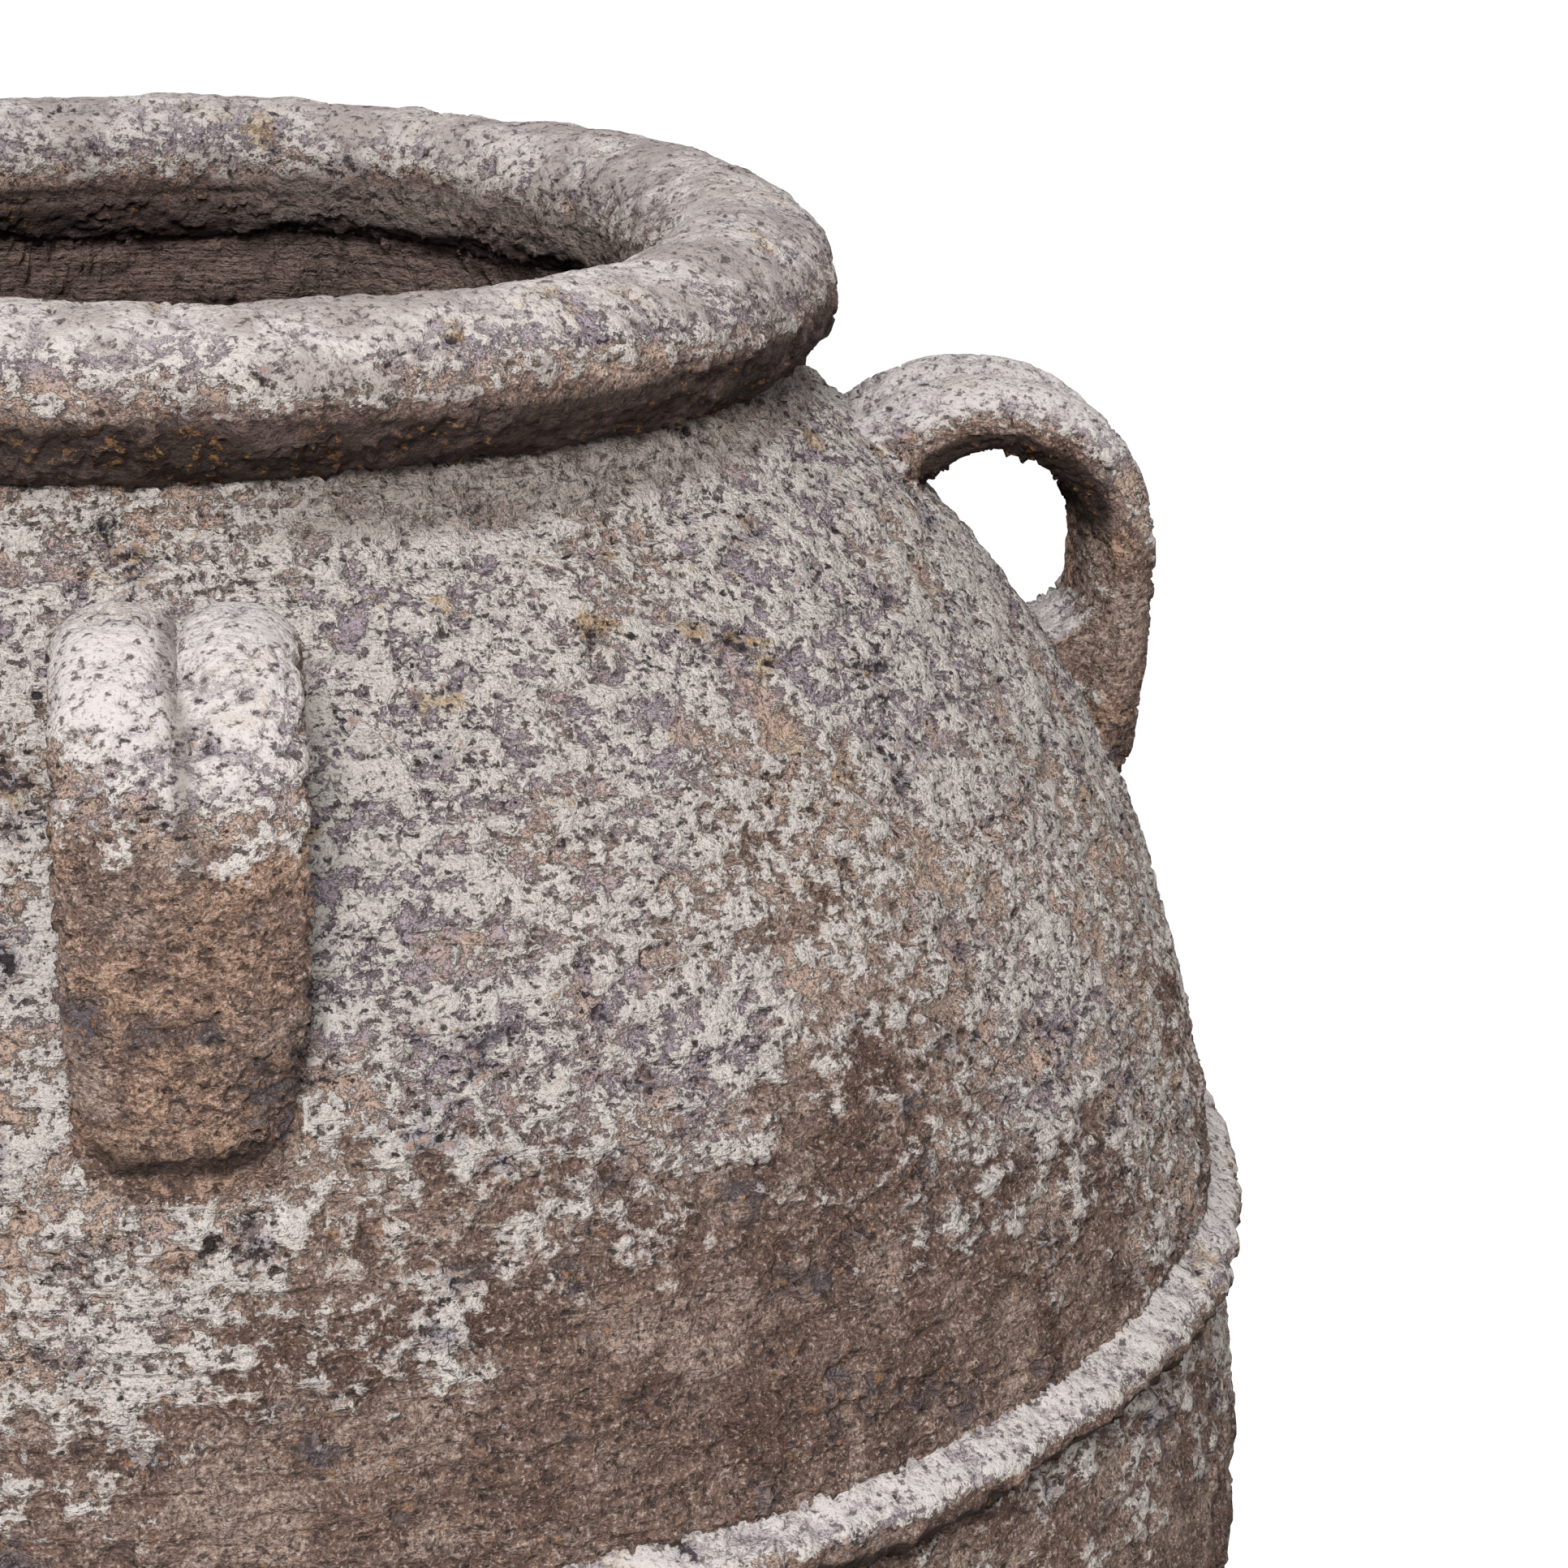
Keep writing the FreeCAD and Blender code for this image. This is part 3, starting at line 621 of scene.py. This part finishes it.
def arc(start: Point, middle: Point, end: Point, step: float) -> list[Point]:
    """Points at an even step along the circle over three points, without the last one.

    Args:
        start: Radius and height in millimetres.
        middle: A point on the way.
        end: The last point.
        step: About how far apart the points are.

    Returns:
        The points from the first to the one before the last.
    """
    (ax, ay), (bx, by), (cx, cy) = start, middle, end
    cross = 2 * (ax * (by - cy) + bx * (cy - ay) + cx * (ay - by))
    length = math.dist(start, middle) + math.dist(middle, end)
    count = max(1, round(length / step))
    if abs(cross) < TINY:
        return [(ax + (cx - ax) * i / count, ay + (cy - ay) * i / count) for i in range(count)]
    squares = [x * x + y * y for x, y in (start, middle, end)]
    hub_x = (squares[0] * (by - cy) + squares[1] * (cy - ay) + squares[2] * (ay - by)) / cross
    hub_y = (squares[0] * (cx - bx) + squares[1] * (ax - cx) + squares[2] * (bx - ax)) / cross
    turns = [math.atan2(y - hub_y, x - hub_x) for x, y in (start, middle, end)]
    way = math.copysign(1, cross)
    sweep = (turns[2] - turns[0]) * way % FULL_TURN * way
    radius = math.hypot(ax - hub_x, ay - hub_y)
    return [
        (hub_x + radius * math.cos(turns[0] + sweep * i / count),
         hub_y + radius * math.sin(turns[0] + sweep * i / count))
        for i in range(count)
    ]


class Outline:
    """A closed or open outline in radius and height, drawn anticlockwise so that faces point out.

    Each point also has a mark: 1 in the jar's hollow, which is coloured lighter as painted light, and 0.5
    just under the rim, where the rim's shade is painted.
    """

    def __init__(self) -> None:
        """Starts an empty outline."""
        self.points: list[Point] = []
        self.inside: list[float] = []

    def line(self, start: Point, end: Point, step: float, bow: float = 0.0, inside: float = 0.0) -> None:
        """Adds a straight or bowed stretch, without its last point."""
        self.bend(start, halfway(start, end, bow), end, step, inside)

    def bend(self, start: Point, middle: Point, end: Point, step: float, inside: float = 0.0) -> None:
        """Adds an arc over three points, without its last point.

        Args:
            start: First point, in millimetres.
            middle: A point on the arc.
            end: Last point.
            step: Distance between points.
            inside: The mark of its points.
        """
        fresh = arc(start, middle, end, step)
        self.points += fresh
        self.inside += [inside] * len(fresh)

    def piece(self, name: str) -> Object:
        """The outline as an object, for the turned tree.

        Args:
            name: The piece's name.

        Returns:
            The object, whose mesh is the outline's points and the edges between them.
        """
        points = np.array([(r * MM, 0.0, z * MM) for r, z in self.points])
        piece = new_piece(name, points, [(i, i + 1) for i in range(len(points) - 1)])
        mark_points(piece, "inside", self.inside)
        return piece


@dataclass
class Wall:
    """The jar's wall: outer radius, wall and height at each joint, and the bow of each course."""

    floor: Triple = (214.0, 36.0, 38.0)
    foot: Triple = (322.0, 33.0, 225.0)
    belly: Triple = (411.0, 30.0, 465.0)
    shoulder: Triple = (405.0, 28.0, 715.0)
    neck: Triple = (262.0, 36.0, 1008.0)
    rim: Triple = (230.0, 32.0, 1042.0)
    foot_bow: float = 3.0
    lower_bow: float = 10.0
    belly_bow: float = 14.0
    shoulder_bow: float = 34.0
    neck_bow: float = -3.5
    base_radius: float = 204.0
    base_round: float = 8.0
    base_flare: float = 1.5
    round_shares: Point = (0.75, 0.27)
    land: float = 11.5
    tuck: Point = (4.0, 6.0)
    # Where the rim's painted shade on the neck begins above the neck joint, how far it fades in, and its
    # highest mark.
    rim_shade_start: float = 12.0
    rim_shade_fade: float = 24.0
    rim_shade_most: float = 0.5
    fine_step: float = 2.0
    plain_step: float = 3.0
    coarse_step: float = 14.0

    def outer(self, joint: Triple, lift: float = 0.0) -> Point:
        """A joint's outer point, a lift above or below it."""
        return joint[0], joint[2] + lift

    def inner(self, joint: Triple) -> Point:
        """A joint's inner point."""
        return joint[0] - joint[1], joint[2]

    def foot_outline(self) -> Outline:
        """Floor slab and foot course in one skin.

        Returns:
            The outline, open along the axis.
        """
        out = Outline()
        coarse, step = self.coarse_step, self.plain_step
        base = (self.base_radius - self.base_round, 0.0)
        side = (self.base_radius + self.base_flare, self.base_round)
        across, up = (share * self.base_round for share in self.round_shares)
        low, high = self.outer(self.floor), self.outer(self.foot, -self.land)
        out.line((0.0, 0.0), base, coarse)
        out.bend(base, (base[0] + across, up), side, step)
        out.line(side, low, step)
        out.line(low, high, step, self.foot_bow)
        out.line(high, self.outer(self.foot), step)
        out.line(self.outer(self.foot), self.inner(self.foot), coarse)
        out.line(self.inner(self.foot), self.inner(self.floor), coarse, self.foot_bow, inside=1.0)
        out.line(self.inner(self.floor), (0.0, self.floor[2]), coarse, inside=1.0)
        out.points.append((0.0, self.floor[2]))
        out.inside.append(1.0)
        return out

    def course_outline(self, low: Triple, high: Triple, bow: float) -> Outline:
        """A wall course between two banded joints.

        Args:
            low: The joint under it.
            high: The joint over it.
            bow: How far its middle stands out.

        Returns:
            The closed outline.
        """
        out = Outline()
        step, coarse = self.plain_step, self.coarse_step
        start, end = self.outer(low, self.land), self.outer(high, -self.land)
        out.line(self.outer(low), start, step)
        out.line(start, end, step, bow)
        out.line(end, self.outer(high), step)
        out.line(self.outer(high), self.inner(high), coarse)
        out.line(self.inner(high), self.inner(low), coarse, bow, inside=1.0)
        out.line(self.inner(low), self.outer(low), coarse)
        return out

    def shoulder_run(self) -> list[tuple[Point, Point, float]]:
        """Start, end and bow of the outer stretches of shoulder and neck."""
        return [(self.outer(self.shoulder, self.land), self.outer(self.neck), self.shoulder_bow),
                (self.outer(self.neck), self.outer(self.rim), self.neck_bow)]

    def shoulder_outline(self) -> Outline:
        """Shoulder and neck in one skin, up into the rolled rim.

        Returns:
            The closed outline.
        """
        out = Outline()
        low, neck, rim = self.shoulder, self.neck, self.rim
        step, coarse = self.fine_step, self.coarse_step
        tuck = (rim[0] - self.tuck[0], rim[2] + self.tuck[1])
        hidden = (rim[0] - rim[1], tuck[1])
        out.line(self.outer(low), self.outer(low, self.land), step)
        for start, end, bow in self.shoulder_run():
            out.line(start, end, step, bow)
        out.line(self.outer(rim), tuck, step)
        # The neck just under the rim is marked up to 0.5 for the rim's painted shade.
        out.inside = [min(self.rim_shade_most, max(0.0, (z - neck[2] - self.rim_shade_start) / self.rim_shade_fade))
                      for _, z in out.points]
        out.line(tuck, hidden, coarse)
        out.line(hidden, self.inner(neck), coarse / 2, inside=1.0)
        out.line(self.inner(neck), self.inner(low), coarse, self.shoulder_bow, inside=1.0)
        out.line(self.inner(low), self.outer(low), coarse)
        return out

    def shoulder_face(self, height: np.ndarray) -> np.ndarray:
        """Outer radius of shoulder and neck, for the handles.

        Args:
            height: Heights in millimetres.

        Returns:
            The radius at each height.
        """
        track: list[Point] = []
        for start, end, bow in self.shoulder_run():
            track += arc(start, halfway(start, end, bow), end, self.fine_step)
        track.append(self.outer(self.rim))
        radii, heights = zip(*track)
        return np.interp(height, heights, radii)


@dataclass
class Body:
    """Walls, rim and bands of the jar. The rim's mouth side is marked as hollow by two soft edges."""

    wall: Wall
    rim_width: float = 72.0
    rim_height: float = 61.5
    rim_sink: float = 3.8
    rim_inset: float = 1.6
    mouth_start: Point = (24.0, 8.0)
    mouth_fade: Point = (12.0, 16.0)
    band_reach: float = 14.6
    band_height: float = 25.0
    band_nose: float = 15.0
    band_tip: float = 6.0
    band_back: float = 4.0
    band_step: float = 2.6
    hand_smoothed: float = 0.85
    seam_angle: float = math.radians(14.0)
    sectors: int = 3

    def turn(self, shop: Workshop, name: str, outline: Outline, widest: float, step: float,
             texture: Texture, nodes: tuple[str, ...], wrap: int = 1, calm: float = 0.0) -> None:
        """Turns one outline all the way round.

        Args:
            shop: The workshop.
            name: The piece's name.
            outline: What is turned.
            widest: Its largest radius, which sets the count of segments.
            step: Distance between points there.
            texture: How rough it is.
            nodes: CAD nodes that it stands for.
            wrap: 1 if the outline is closed.
            calm: 1 if wet hands have smoothed its clay.
        """
        piece = outline.piece(name)
        shop.bake(piece, Tree.TURNED, texture, Segments=round(FULL_TURN * widest / step), Wrap=wrap,
                  Start=0.0, Sweep=FULL_TURN, Calm=calm)
        shop.place(piece, *nodes)

    def sector(self, shop: Workshop, number: int) -> None:
        """One third of shoulder and neck, closed at both ends by a flat face.

        Args:
            shop: The workshop.
            number: Which third.
        """
        sweep = FULL_TURN / self.sectors
        segments = round(sweep * self.wall.shoulder[0] / self.wall.fine_step)
        piece = self.wall.shoulder_outline().piece(f"shoulder_{number + 1}")
        shop.bake(piece, Tree.TURNED, Texture(), Segments=segments, Wrap=1,
                  Start=self.seam_angle + number * sweep, Sweep=sweep)
        form = bmesh.new()
        form.from_mesh(piece.data)
        rims = [e for e in form.edges if e.is_boundary]
        for edge in rims:
            edge.smooth = False
        for face in bmesh.ops.holes_fill(form, edges=rims)["faces"]:
            face.smooth = False
        form.to_mesh(piece.data)
        form.free()
        shop.place(piece, "shoulder_course", "neck_ring")

    def rim(self, shop: Workshop) -> None:
        """The thick rolled rim: a full oval, pressed onto the neck.

        Args:
            shop: The workshop.
        """
        middle_radius = self.wall.rim[0] - self.wall.rim[1] / 2
        middle_height = self.wall.rim[2] + self.rim_height / 2 - self.rim_sink
        wide, tall = self.rim_width / 2 - self.rim_inset, self.rim_height / 2 - self.rim_inset
        out = Outline()
        count = round(math.pi * (wide + tall) / self.wall.fine_step)
        for i in range(count):
            turn = FULL_TURN * i / count
            x, z = middle_radius + wide * math.cos(turn), middle_height + tall * math.sin(turn)
            inwards = (middle_radius - self.mouth_start[0] - x) / self.mouth_fade[0]
            down = (middle_height + self.mouth_start[1] - z) / self.mouth_fade[1]
            out.points.append((x, z))
            out.inside.append(max(0.0, min(1.0, inwards)) * max(0.0, min(1.0, down)))
        self.turn(shop, "rim", out, middle_radius + wide, self.wall.fine_step,
                  Texture(sway=16.0, lumps=8.0, crumb=5.0), ("rim_roll",), calm=self.hand_smoothed)

    def band(self, shop: Workshop, name: str, joint: Triple, step: float) -> None:
        """One applied band: a low roll with a sloping top, sunk a little into the wall.

        Args:
            shop: The workshop.
            name: The band's name, also its CAD node's.
            joint: The joint that it covers.
            step: Distance between points.
        """
        radius, _, height = joint
        back, nose = radius - self.band_back, radius + self.band_reach
        half, tip = self.band_height / 2, self.band_nose / 2
        low = [(back, height - half), (radius, height - half), (nose - self.band_tip, height - tip)]
        high = [(r, 2 * height - z) for r, z in reversed(low)]
        out = Outline()
        for start, end in zip(low, low[1:]):
            out.line(start, end, step)
        out.bend(low[-1], (nose, height), high[0], step)
        for start, end in zip(high, high[1:]):
            out.line(start, end, step)
        out.line(high[-1], low[0], self.wall.coarse_step)
        self.turn(shop, name, out, nose, step, Texture(crumb=5.0), (name,), calm=self.hand_smoothed)

    def build(self, shop: Workshop) -> None:
        """Makes every piece of the body, from the ground up.

        Args:
            shop: The workshop.
        """
        wall, step = self.wall, self.wall.plain_step
        self.turn(shop, "foot", wall.foot_outline(), wall.foot[0], step, Texture(),
                  ("floor_slab", "foot_course"), wrap=0)
        self.turn(shop, "lower_wall", wall.course_outline(wall.foot, wall.belly, wall.lower_bow),
                  wall.belly[0], step, Texture(), ("lower_course",))
        self.turn(shop, "belly", wall.course_outline(wall.belly, wall.shoulder, wall.belly_bow),
                  wall.belly[0] + wall.belly_bow, step, Texture(), ("belly_course",))
        for number in range(self.sectors):
            self.sector(shop, number)
        self.rim(shop)
        self.band(shop, "foot_band", wall.foot, self.band_step)
        self.band(shop, "belly_band", wall.belly, self.band_step)
        self.band(shop, "shoulder_band", wall.shoulder, wall.fine_step)


@dataclass
class Handle:
    """An upright handle of two coils side by side, run smoothly into the wall at both ends.

    Under the foot of the strap a wad of clay is pressed in against the wall, and its coved top ends the
    hole. The four were set by hand, so some sit a few millimetres lower on the wall than others.
    """

    wall: Wall
    drops: tuple[float, ...] = (4.0, 0.0, 3.0, 9.0)
    loop_reach: float = 308.42
    loop_height: float = 963.0
    loop_radius: float = 55.0
    root_turn: float = 158.0
    crown_turn: float = 90.0
    change_turn: float = 60.0
    bend_count: int = 40
    leg_drop: float = 117.0
    leg_shares: tuple[Point, ...] = ((0.36, 0.06), (0.68, 0.29), (1.0, 1.0))
    toe_bury: float = 29.0
    width: float = 75.0
    toe_width: float = 58.0
    crown_coil: float = 39.0
    leg_coil: float = 54.0
    crown_depth: float = 27.0
    leg_depth: float = 25.0
    root_depth: float = 36.0
    coil_blend: float = 1.5
    end_reach: float = 2.0
    # Width, fade and wander of the painted shade along the groove between the coils.
    groove: float = 4.5
    groove_fade: float = 40.0
    groove_waves: tuple[Point, ...] = ((2.2, 13.0), (1.4, 5.7))
    wad_drop: float = 36.0
    wad_cove: float = 24.0
    wad_depth: float = 40.0
    wad_inset: float = 2.0
    wad_blend: float = 6.0
    wall_blend: float = 9.0
    toe_blend: float = 5.0
    skirt_sink: float = 1.0
    skirt_dive: float = 4.0
    skirt_depth: float = 9.0
    skirt_reach: float = 26.0
    skirt_slope: float = 0.7
    grid_low: Triple = (215.0, -66.0, 812.0)
    grid_high: Triple = (398.0, 66.0, 1050.0)
    grid_far: float = 10.0
    voxel: float = 1.6
    track_count: int = 400
    smooth_count: int = 31

    def track(self) -> np.ndarray:
        """The handle's run: reach, height, coil depth, coil width and strap width at even steps.

        Returns:
            One row for each point.
        """
        rows = []
        for turn in np.linspace(self.root_turn, 0, self.bend_count):
            share = np.clip((turn - self.crown_turn) / self.change_turn, 0, 1)
            leg = np.clip((self.change_turn - turn) / self.change_turn, 0, 1)
            depth = self.crown_depth + share * (self.root_depth - self.crown_depth) \
                + leg * (self.leg_depth - self.crown_depth)
            width = self.crown_coil + leg * (self.leg_coil - self.crown_coil)
            angle = math.radians(turn)
            rows.append((self.loop_reach + self.loop_radius * math.cos(angle),
                         self.loop_height + self.loop_radius * math.sin(angle), depth, width, self.width))
        start = self.loop_reach + self.loop_radius
        toe_height = self.loop_height - self.leg_drop
        end = float(self.wall.shoulder_face(np.array(toe_height))) - self.toe_bury
        straps = (self.width, (self.width + self.toe_width) / 2, self.toe_width)
        for (drop, inwards), strap in zip(self.leg_shares, straps):
            rows.append((start + inwards * (end - start), self.loop_height - drop * self.leg_drop,
                         self.leg_depth, self.leg_coil, strap))
        rows = np.array(rows)
        runs = np.r_[0, np.cumsum(np.hypot(*np.diff(rows[:, :2], axis=0).T))]
        even = np.linspace(0, runs[-1], self.track_count)
        smooth = np.stack([np.interp(even, runs, column) for column in rows.T], 1)
        kernel = np.hanning(self.smooth_count)
        kernel /= kernel.sum()
        half = self.smooth_count // 2
        padded = np.pad(smooth, ((half, half), (0, 0)), mode="reflect", reflect_type="odd")
        return np.stack([np.convolve(column, kernel, "valid") for column in padded.T], 1)

    @staticmethod
    def melt(first: np.ndarray, second: np.ndarray, reach: float) -> np.ndarray:
        """The smaller of two distances, with the corner between them filled over a reach."""
        share = np.clip(0.5 + 0.5 * (second - first) / reach, 0, 1)
        return second * (1 - share) + first * share - reach * share * (1 - share)

    def wad(self, axes: list[np.ndarray], out: np.ndarray) -> np.ndarray:
        """Distance to the clay pressed in between leg and wall, whose coved top ends the hole.

        Args:
            axes: The grid's coordinates in millimetres.
            out: How far each place lies outside the middle of the strap.

        Returns:
            The distance on the grid, below zero within the wad.
        """
        reach, across, height = np.ix_(*axes)
        heel = self.loop_reach + self.loop_radius
        climb = np.clip((reach - heel) / self.wad_depth + 1, 0, 1)
        roof = self.loop_height - self.wad_drop + self.wad_cove * climb ** 2
        side = np.abs(across) - self.toe_width / 2 + self.wad_inset
        toe = self.loop_height - self.leg_drop
        return np.maximum(np.maximum(out, height - roof), np.maximum(side, toe - height))

    def field(self) -> tuple[np.ndarray, np.ndarray]:
        """Signed distance to the handle's skin on a grid round the handle on +X.

        Returns:
            The field, and the grid's lowest corner, both in millimetres.
        """
        axes = [np.arange(a, b, self.voxel) for a, b in zip(self.grid_low, self.grid_high)]
        flat_x, flat_z = np.meshgrid(axes[0], axes[2], indexing="ij")
        run = self.track()
        step = np.gradient(run[:, :2], axis=0)
        step /= np.linalg.norm(step, axis=1)[:, None]
        away = np.hypot(flat_x[..., None] - run[:, 0], flat_z[..., None] - run[:, 1])
        near = away.argmin(-1)
        dx, dz = flat_x - run[near, 0], flat_z - run[near, 1]
        along = dx * step[near, 0] + dz * step[near, 1]
        out = (dx * -step[near, 1] + dz * step[near, 0])[:, None, :]
        depth, width, strap = (run[near, k][:, None, :] / 2 for k in (2, 3, 4))
        past = np.abs(along)[:, None, :] * np.isin(near, (0, len(run) - 1))[:, None, :]
        across = axes[1][None, :, None]
        lobes = []
        for side in (-1, 1):
            y = across - side * (strap - width)
            near_unit = np.sqrt((out / depth) ** 2 + (y / width) ** 2) + TINY
            slope = np.sqrt((out / depth ** 2) ** 2 + (y / width ** 2) ** 2) + TINY
            lobes.append(near_unit * (near_unit - 1) / slope)
        coils = self.melt(lobes[0], lobes[1], self.coil_blend)
        coils = np.maximum(coils, past - self.end_reach)
        coils = self.melt(coils, self.wad(axes, out), self.wad_blend)
        radius = np.hypot(axes[0][:, None, None], across)
        face = self.wall.shoulder_face(axes[2])[None, None, :]
        lean = np.gradient(self.wall.shoulder_face(axes[2]), axes[2])[None, None, :]
        wall = (radius - face) / np.sqrt(1 + lean ** 2)
        blend = np.interp(axes[2], (self.loop_height - self.leg_drop, self.loop_height),
                          (self.toe_blend, self.wall_blend))[None, None, :]
        sink = self.skirt_sink + self.skirt_dive * np.clip(coils / self.skirt_reach, 0, 1) ** 2
        skin = self.melt(coils, wall + sink, blend)
        skin = np.maximum(skin, -(wall + self.skirt_depth))
        skin = np.maximum(skin, (coils - self.skirt_reach) * self.skirt_slope)
        return skin, np.array(self.grid_low)

    def mesh(self) -> tuple[np.ndarray, np.ndarray]:
        """The handle on +X, from the surface on which the field is zero.

        Returns:
            Its points in metres, and its quads.
        """
        skin, low = self.field()
        grid = openvdb.FloatGrid()
        grid.background = self.grid_far
        grid.copyFromArray(np.ascontiguousarray(skin, dtype=np.float32))
        points, quads = grid.convertToQuads(isovalue=0.0)
        return (np.asarray(points, float) * self.voxel + low) * MM, np.asarray(quads)

    def build(self, shop: Workshop) -> None:
        """Makes the four handles, each a quarter turn on from the last.

        Args:
            shop: The workshop.
        """
        for quarter, side in enumerate(("right", "back", "left", "front")):
            height = self.loop_height - self.drops[quarter]
            wall = self.wall.shoulder_face(np.array((self.loop_height, height)))
            points, quads = replace(self, loop_height=height,
                                    loop_reach=self.loop_reach + float(wall[1] - wall[0])).mesh()
            turn = np.array(Matrix.Rotation(quarter * FULL_TURN / 4, 3, "Z"))
            piece = new_piece(f"handle_{side}", points @ turn.T, (), quads)
            form = bmesh.new()
            form.from_mesh(piece.data)
            bmesh.ops.recalc_face_normals(form, faces=form.faces)
            form.to_mesh(piece.data)
            form.free()
            # Painted shade along the groove between the coils, fading out towards the foot.
            _, across, rise = (points / MM - (0.0, 0.0, height)).T
            wander = sum(swing * np.sin(rise / length) for swing, length in self.groove_waves)
            groove_shade = np.exp(-((across - wander) / self.groove) ** 2)
            mark_points(piece, "groove_shade", groove_shade * np.clip(rise / self.groove_fade + 0.5, 0, 1))
            shop.bake(piece, Tree.MESHED, Texture(sway=4.0, lumps=3.6, crumb=3.6), Calm=1.0)
            shop.place(piece, *(f"handle_{side}_{part}" for part in
                                ("left_coil", "right_coil", "lower_wad")))


@dataclass
class Studio:
    """Camera, soft light and a pale floor. Places and sizes are in metres, the lens in millimetres."""

    camera_place: Triple = (0.0, -1.57839, 1.38687)
    pitch: float = 0.318990
    yaw: float = 0.150046
    roll: float = -0.0257625
    lens: float = 96.79
    sensor: float = 36.0
    sky_strength: float = 0.62
    ground_strength: float = 0.50
    sky_ramp: Point = (-0.2, 0.8)
    key_power: float = 132.0
    key_size: float = 1.0
    key_place: Triple = (-0.4, -3.1, 2.9)
    key_target: Triple = (0.0, 0.0, 0.9)
    floor_half: float = 30.0
    floor_shade: str = "#C0C0C0"
    floor_glow: float = 0.70

    def camera(self) -> None:
        """The camera that the photograph was taken with, as fitted to the jar's outlines."""
        turns = ((-self.roll, "Y"), (self.pitch, "X"), (self.yaw, "Z"))
        rolled, pitched, yawed = (Matrix.Rotation(angle, 3, axis) for angle, axis in turns)
        right, forward, up = rolled @ pitched @ yawed
        data = bpy.data.cameras.new("photo_camera")
        data.sensor_width = self.sensor
        data.lens = self.lens
        camera = bpy.data.objects.new("photo_camera", data)
        bpy.context.scene.collection.objects.link(camera)
        turn = Matrix((right, up, -forward)).transposed()
        camera.matrix_world = Matrix.Translation(self.camera_place) @ turn.to_4x4()
        bpy.context.scene.camera = camera

    def lights(self) -> None:
        """A large soft lamp above and a bright, even surround, white to the camera."""
        data = bpy.data.lights.new("key", "AREA")
        data.shape = "SQUARE"
        data.size = self.key_size
        data.energy = self.key_power
        lamp = bpy.data.objects.new("key", data)
        bpy.context.scene.collection.objects.link(lamp)
        place = Vector(self.key_place)
        lamp.location = place
        lamp.rotation_mode = "QUATERNION"
        lamp.rotation_quaternion = (Vector(self.key_target) - place).to_track_quat("-Z", "Y")
        world = bpy.data.worlds.new("surround")
        bpy.context.scene.world = world
        world.use_nodes = True
        tree = world.node_tree
        tree.nodes.clear()
        path = add(tree, "ShaderNodeLightPath").node.outputs
        seen = path["Is Camera Ray"]
        for ray in ("Is Glossy Ray", "Is Transmission Ray"):
            seen = add(tree, MATH, {0: seen, 1: path[ray]}, operation="MAXIMUM")
        way = add(tree, "ShaderNodeTexCoord").node.outputs["Generated"]
        height = add(tree, "ShaderNodeSeparateXYZ", {0: way}).node.outputs["Z"]
        strength = add(tree, RAMP, {
            "Value": height, "From Min": self.sky_ramp[0], "From Max": self.sky_ramp[1],
            "To Min": self.ground_strength, "To Max": self.sky_strength})
        strength = add(tree, "ShaderNodeMix", {"Factor": seen, "A": strength, "B": 1.0},
                       data_type="FLOAT")
        shine = add(tree, "ShaderNodeBackground", {"Color": (1, 1, 1, 1), "Strength": strength})
        add(tree, "ShaderNodeOutputWorld", {"Surface": shine})

    def floor(self) -> None:
        """A wide pale floor that keeps the jar's shadow and meets the white surround.

        It is rolled with matt white paint, which gives the eye an even pale ground without any gloss. To
        the camera alone it also glows, so that it ends in white.
        """
        half = self.floor_half
        floor = new_piece("floor", np.array([(-half, -half, 0), (half, -half, 0), (half, half, 0),
                                             (-half, half, 0)]), (), [(0, 1, 2, 3)])
        material = bpy.data.materials.new("matt_white_paint")
        material.use_nodes = True
        tree = material.node_tree
        tree.nodes.clear()
        paint = add(tree, "ShaderNodeBsdfDiffuse", {"Color": linear(self.floor_shade)})
        seen = add(tree, "ShaderNodeLightPath").node.outputs["Is Camera Ray"]
        amount = add(tree, MATH, {0: seen, 1: self.floor_glow}, operation="MULTIPLY")
        glow = add(tree, "ShaderNodeEmission", {"Color": (1, 1, 1, 1), "Strength": amount})
        both = add(tree, "ShaderNodeAddShader", {0: paint, 1: glow})
        add(tree, "ShaderNodeOutputMaterial", {"Surface": both})
        floor.data.materials.append(material)

    def build(self) -> None:
        """Sets up camera, lights, floor and view."""
        self.camera()
        self.lights()
        self.floor()
        bpy.context.scene.view_settings.view_transform = "Standard"


def main() -> None:
    """Builds the jar and its studio, and reports each piece."""
    logging.basicConfig(level=logging.INFO, format="%(name)s %(message)s")
    wall = Wall()
    shop = Workshop(FiredClay().build())
    Body(wall).build(shop)
    Handle(wall).build(shop)
    Studio().build()


if __name__ == "__main__":
    main()
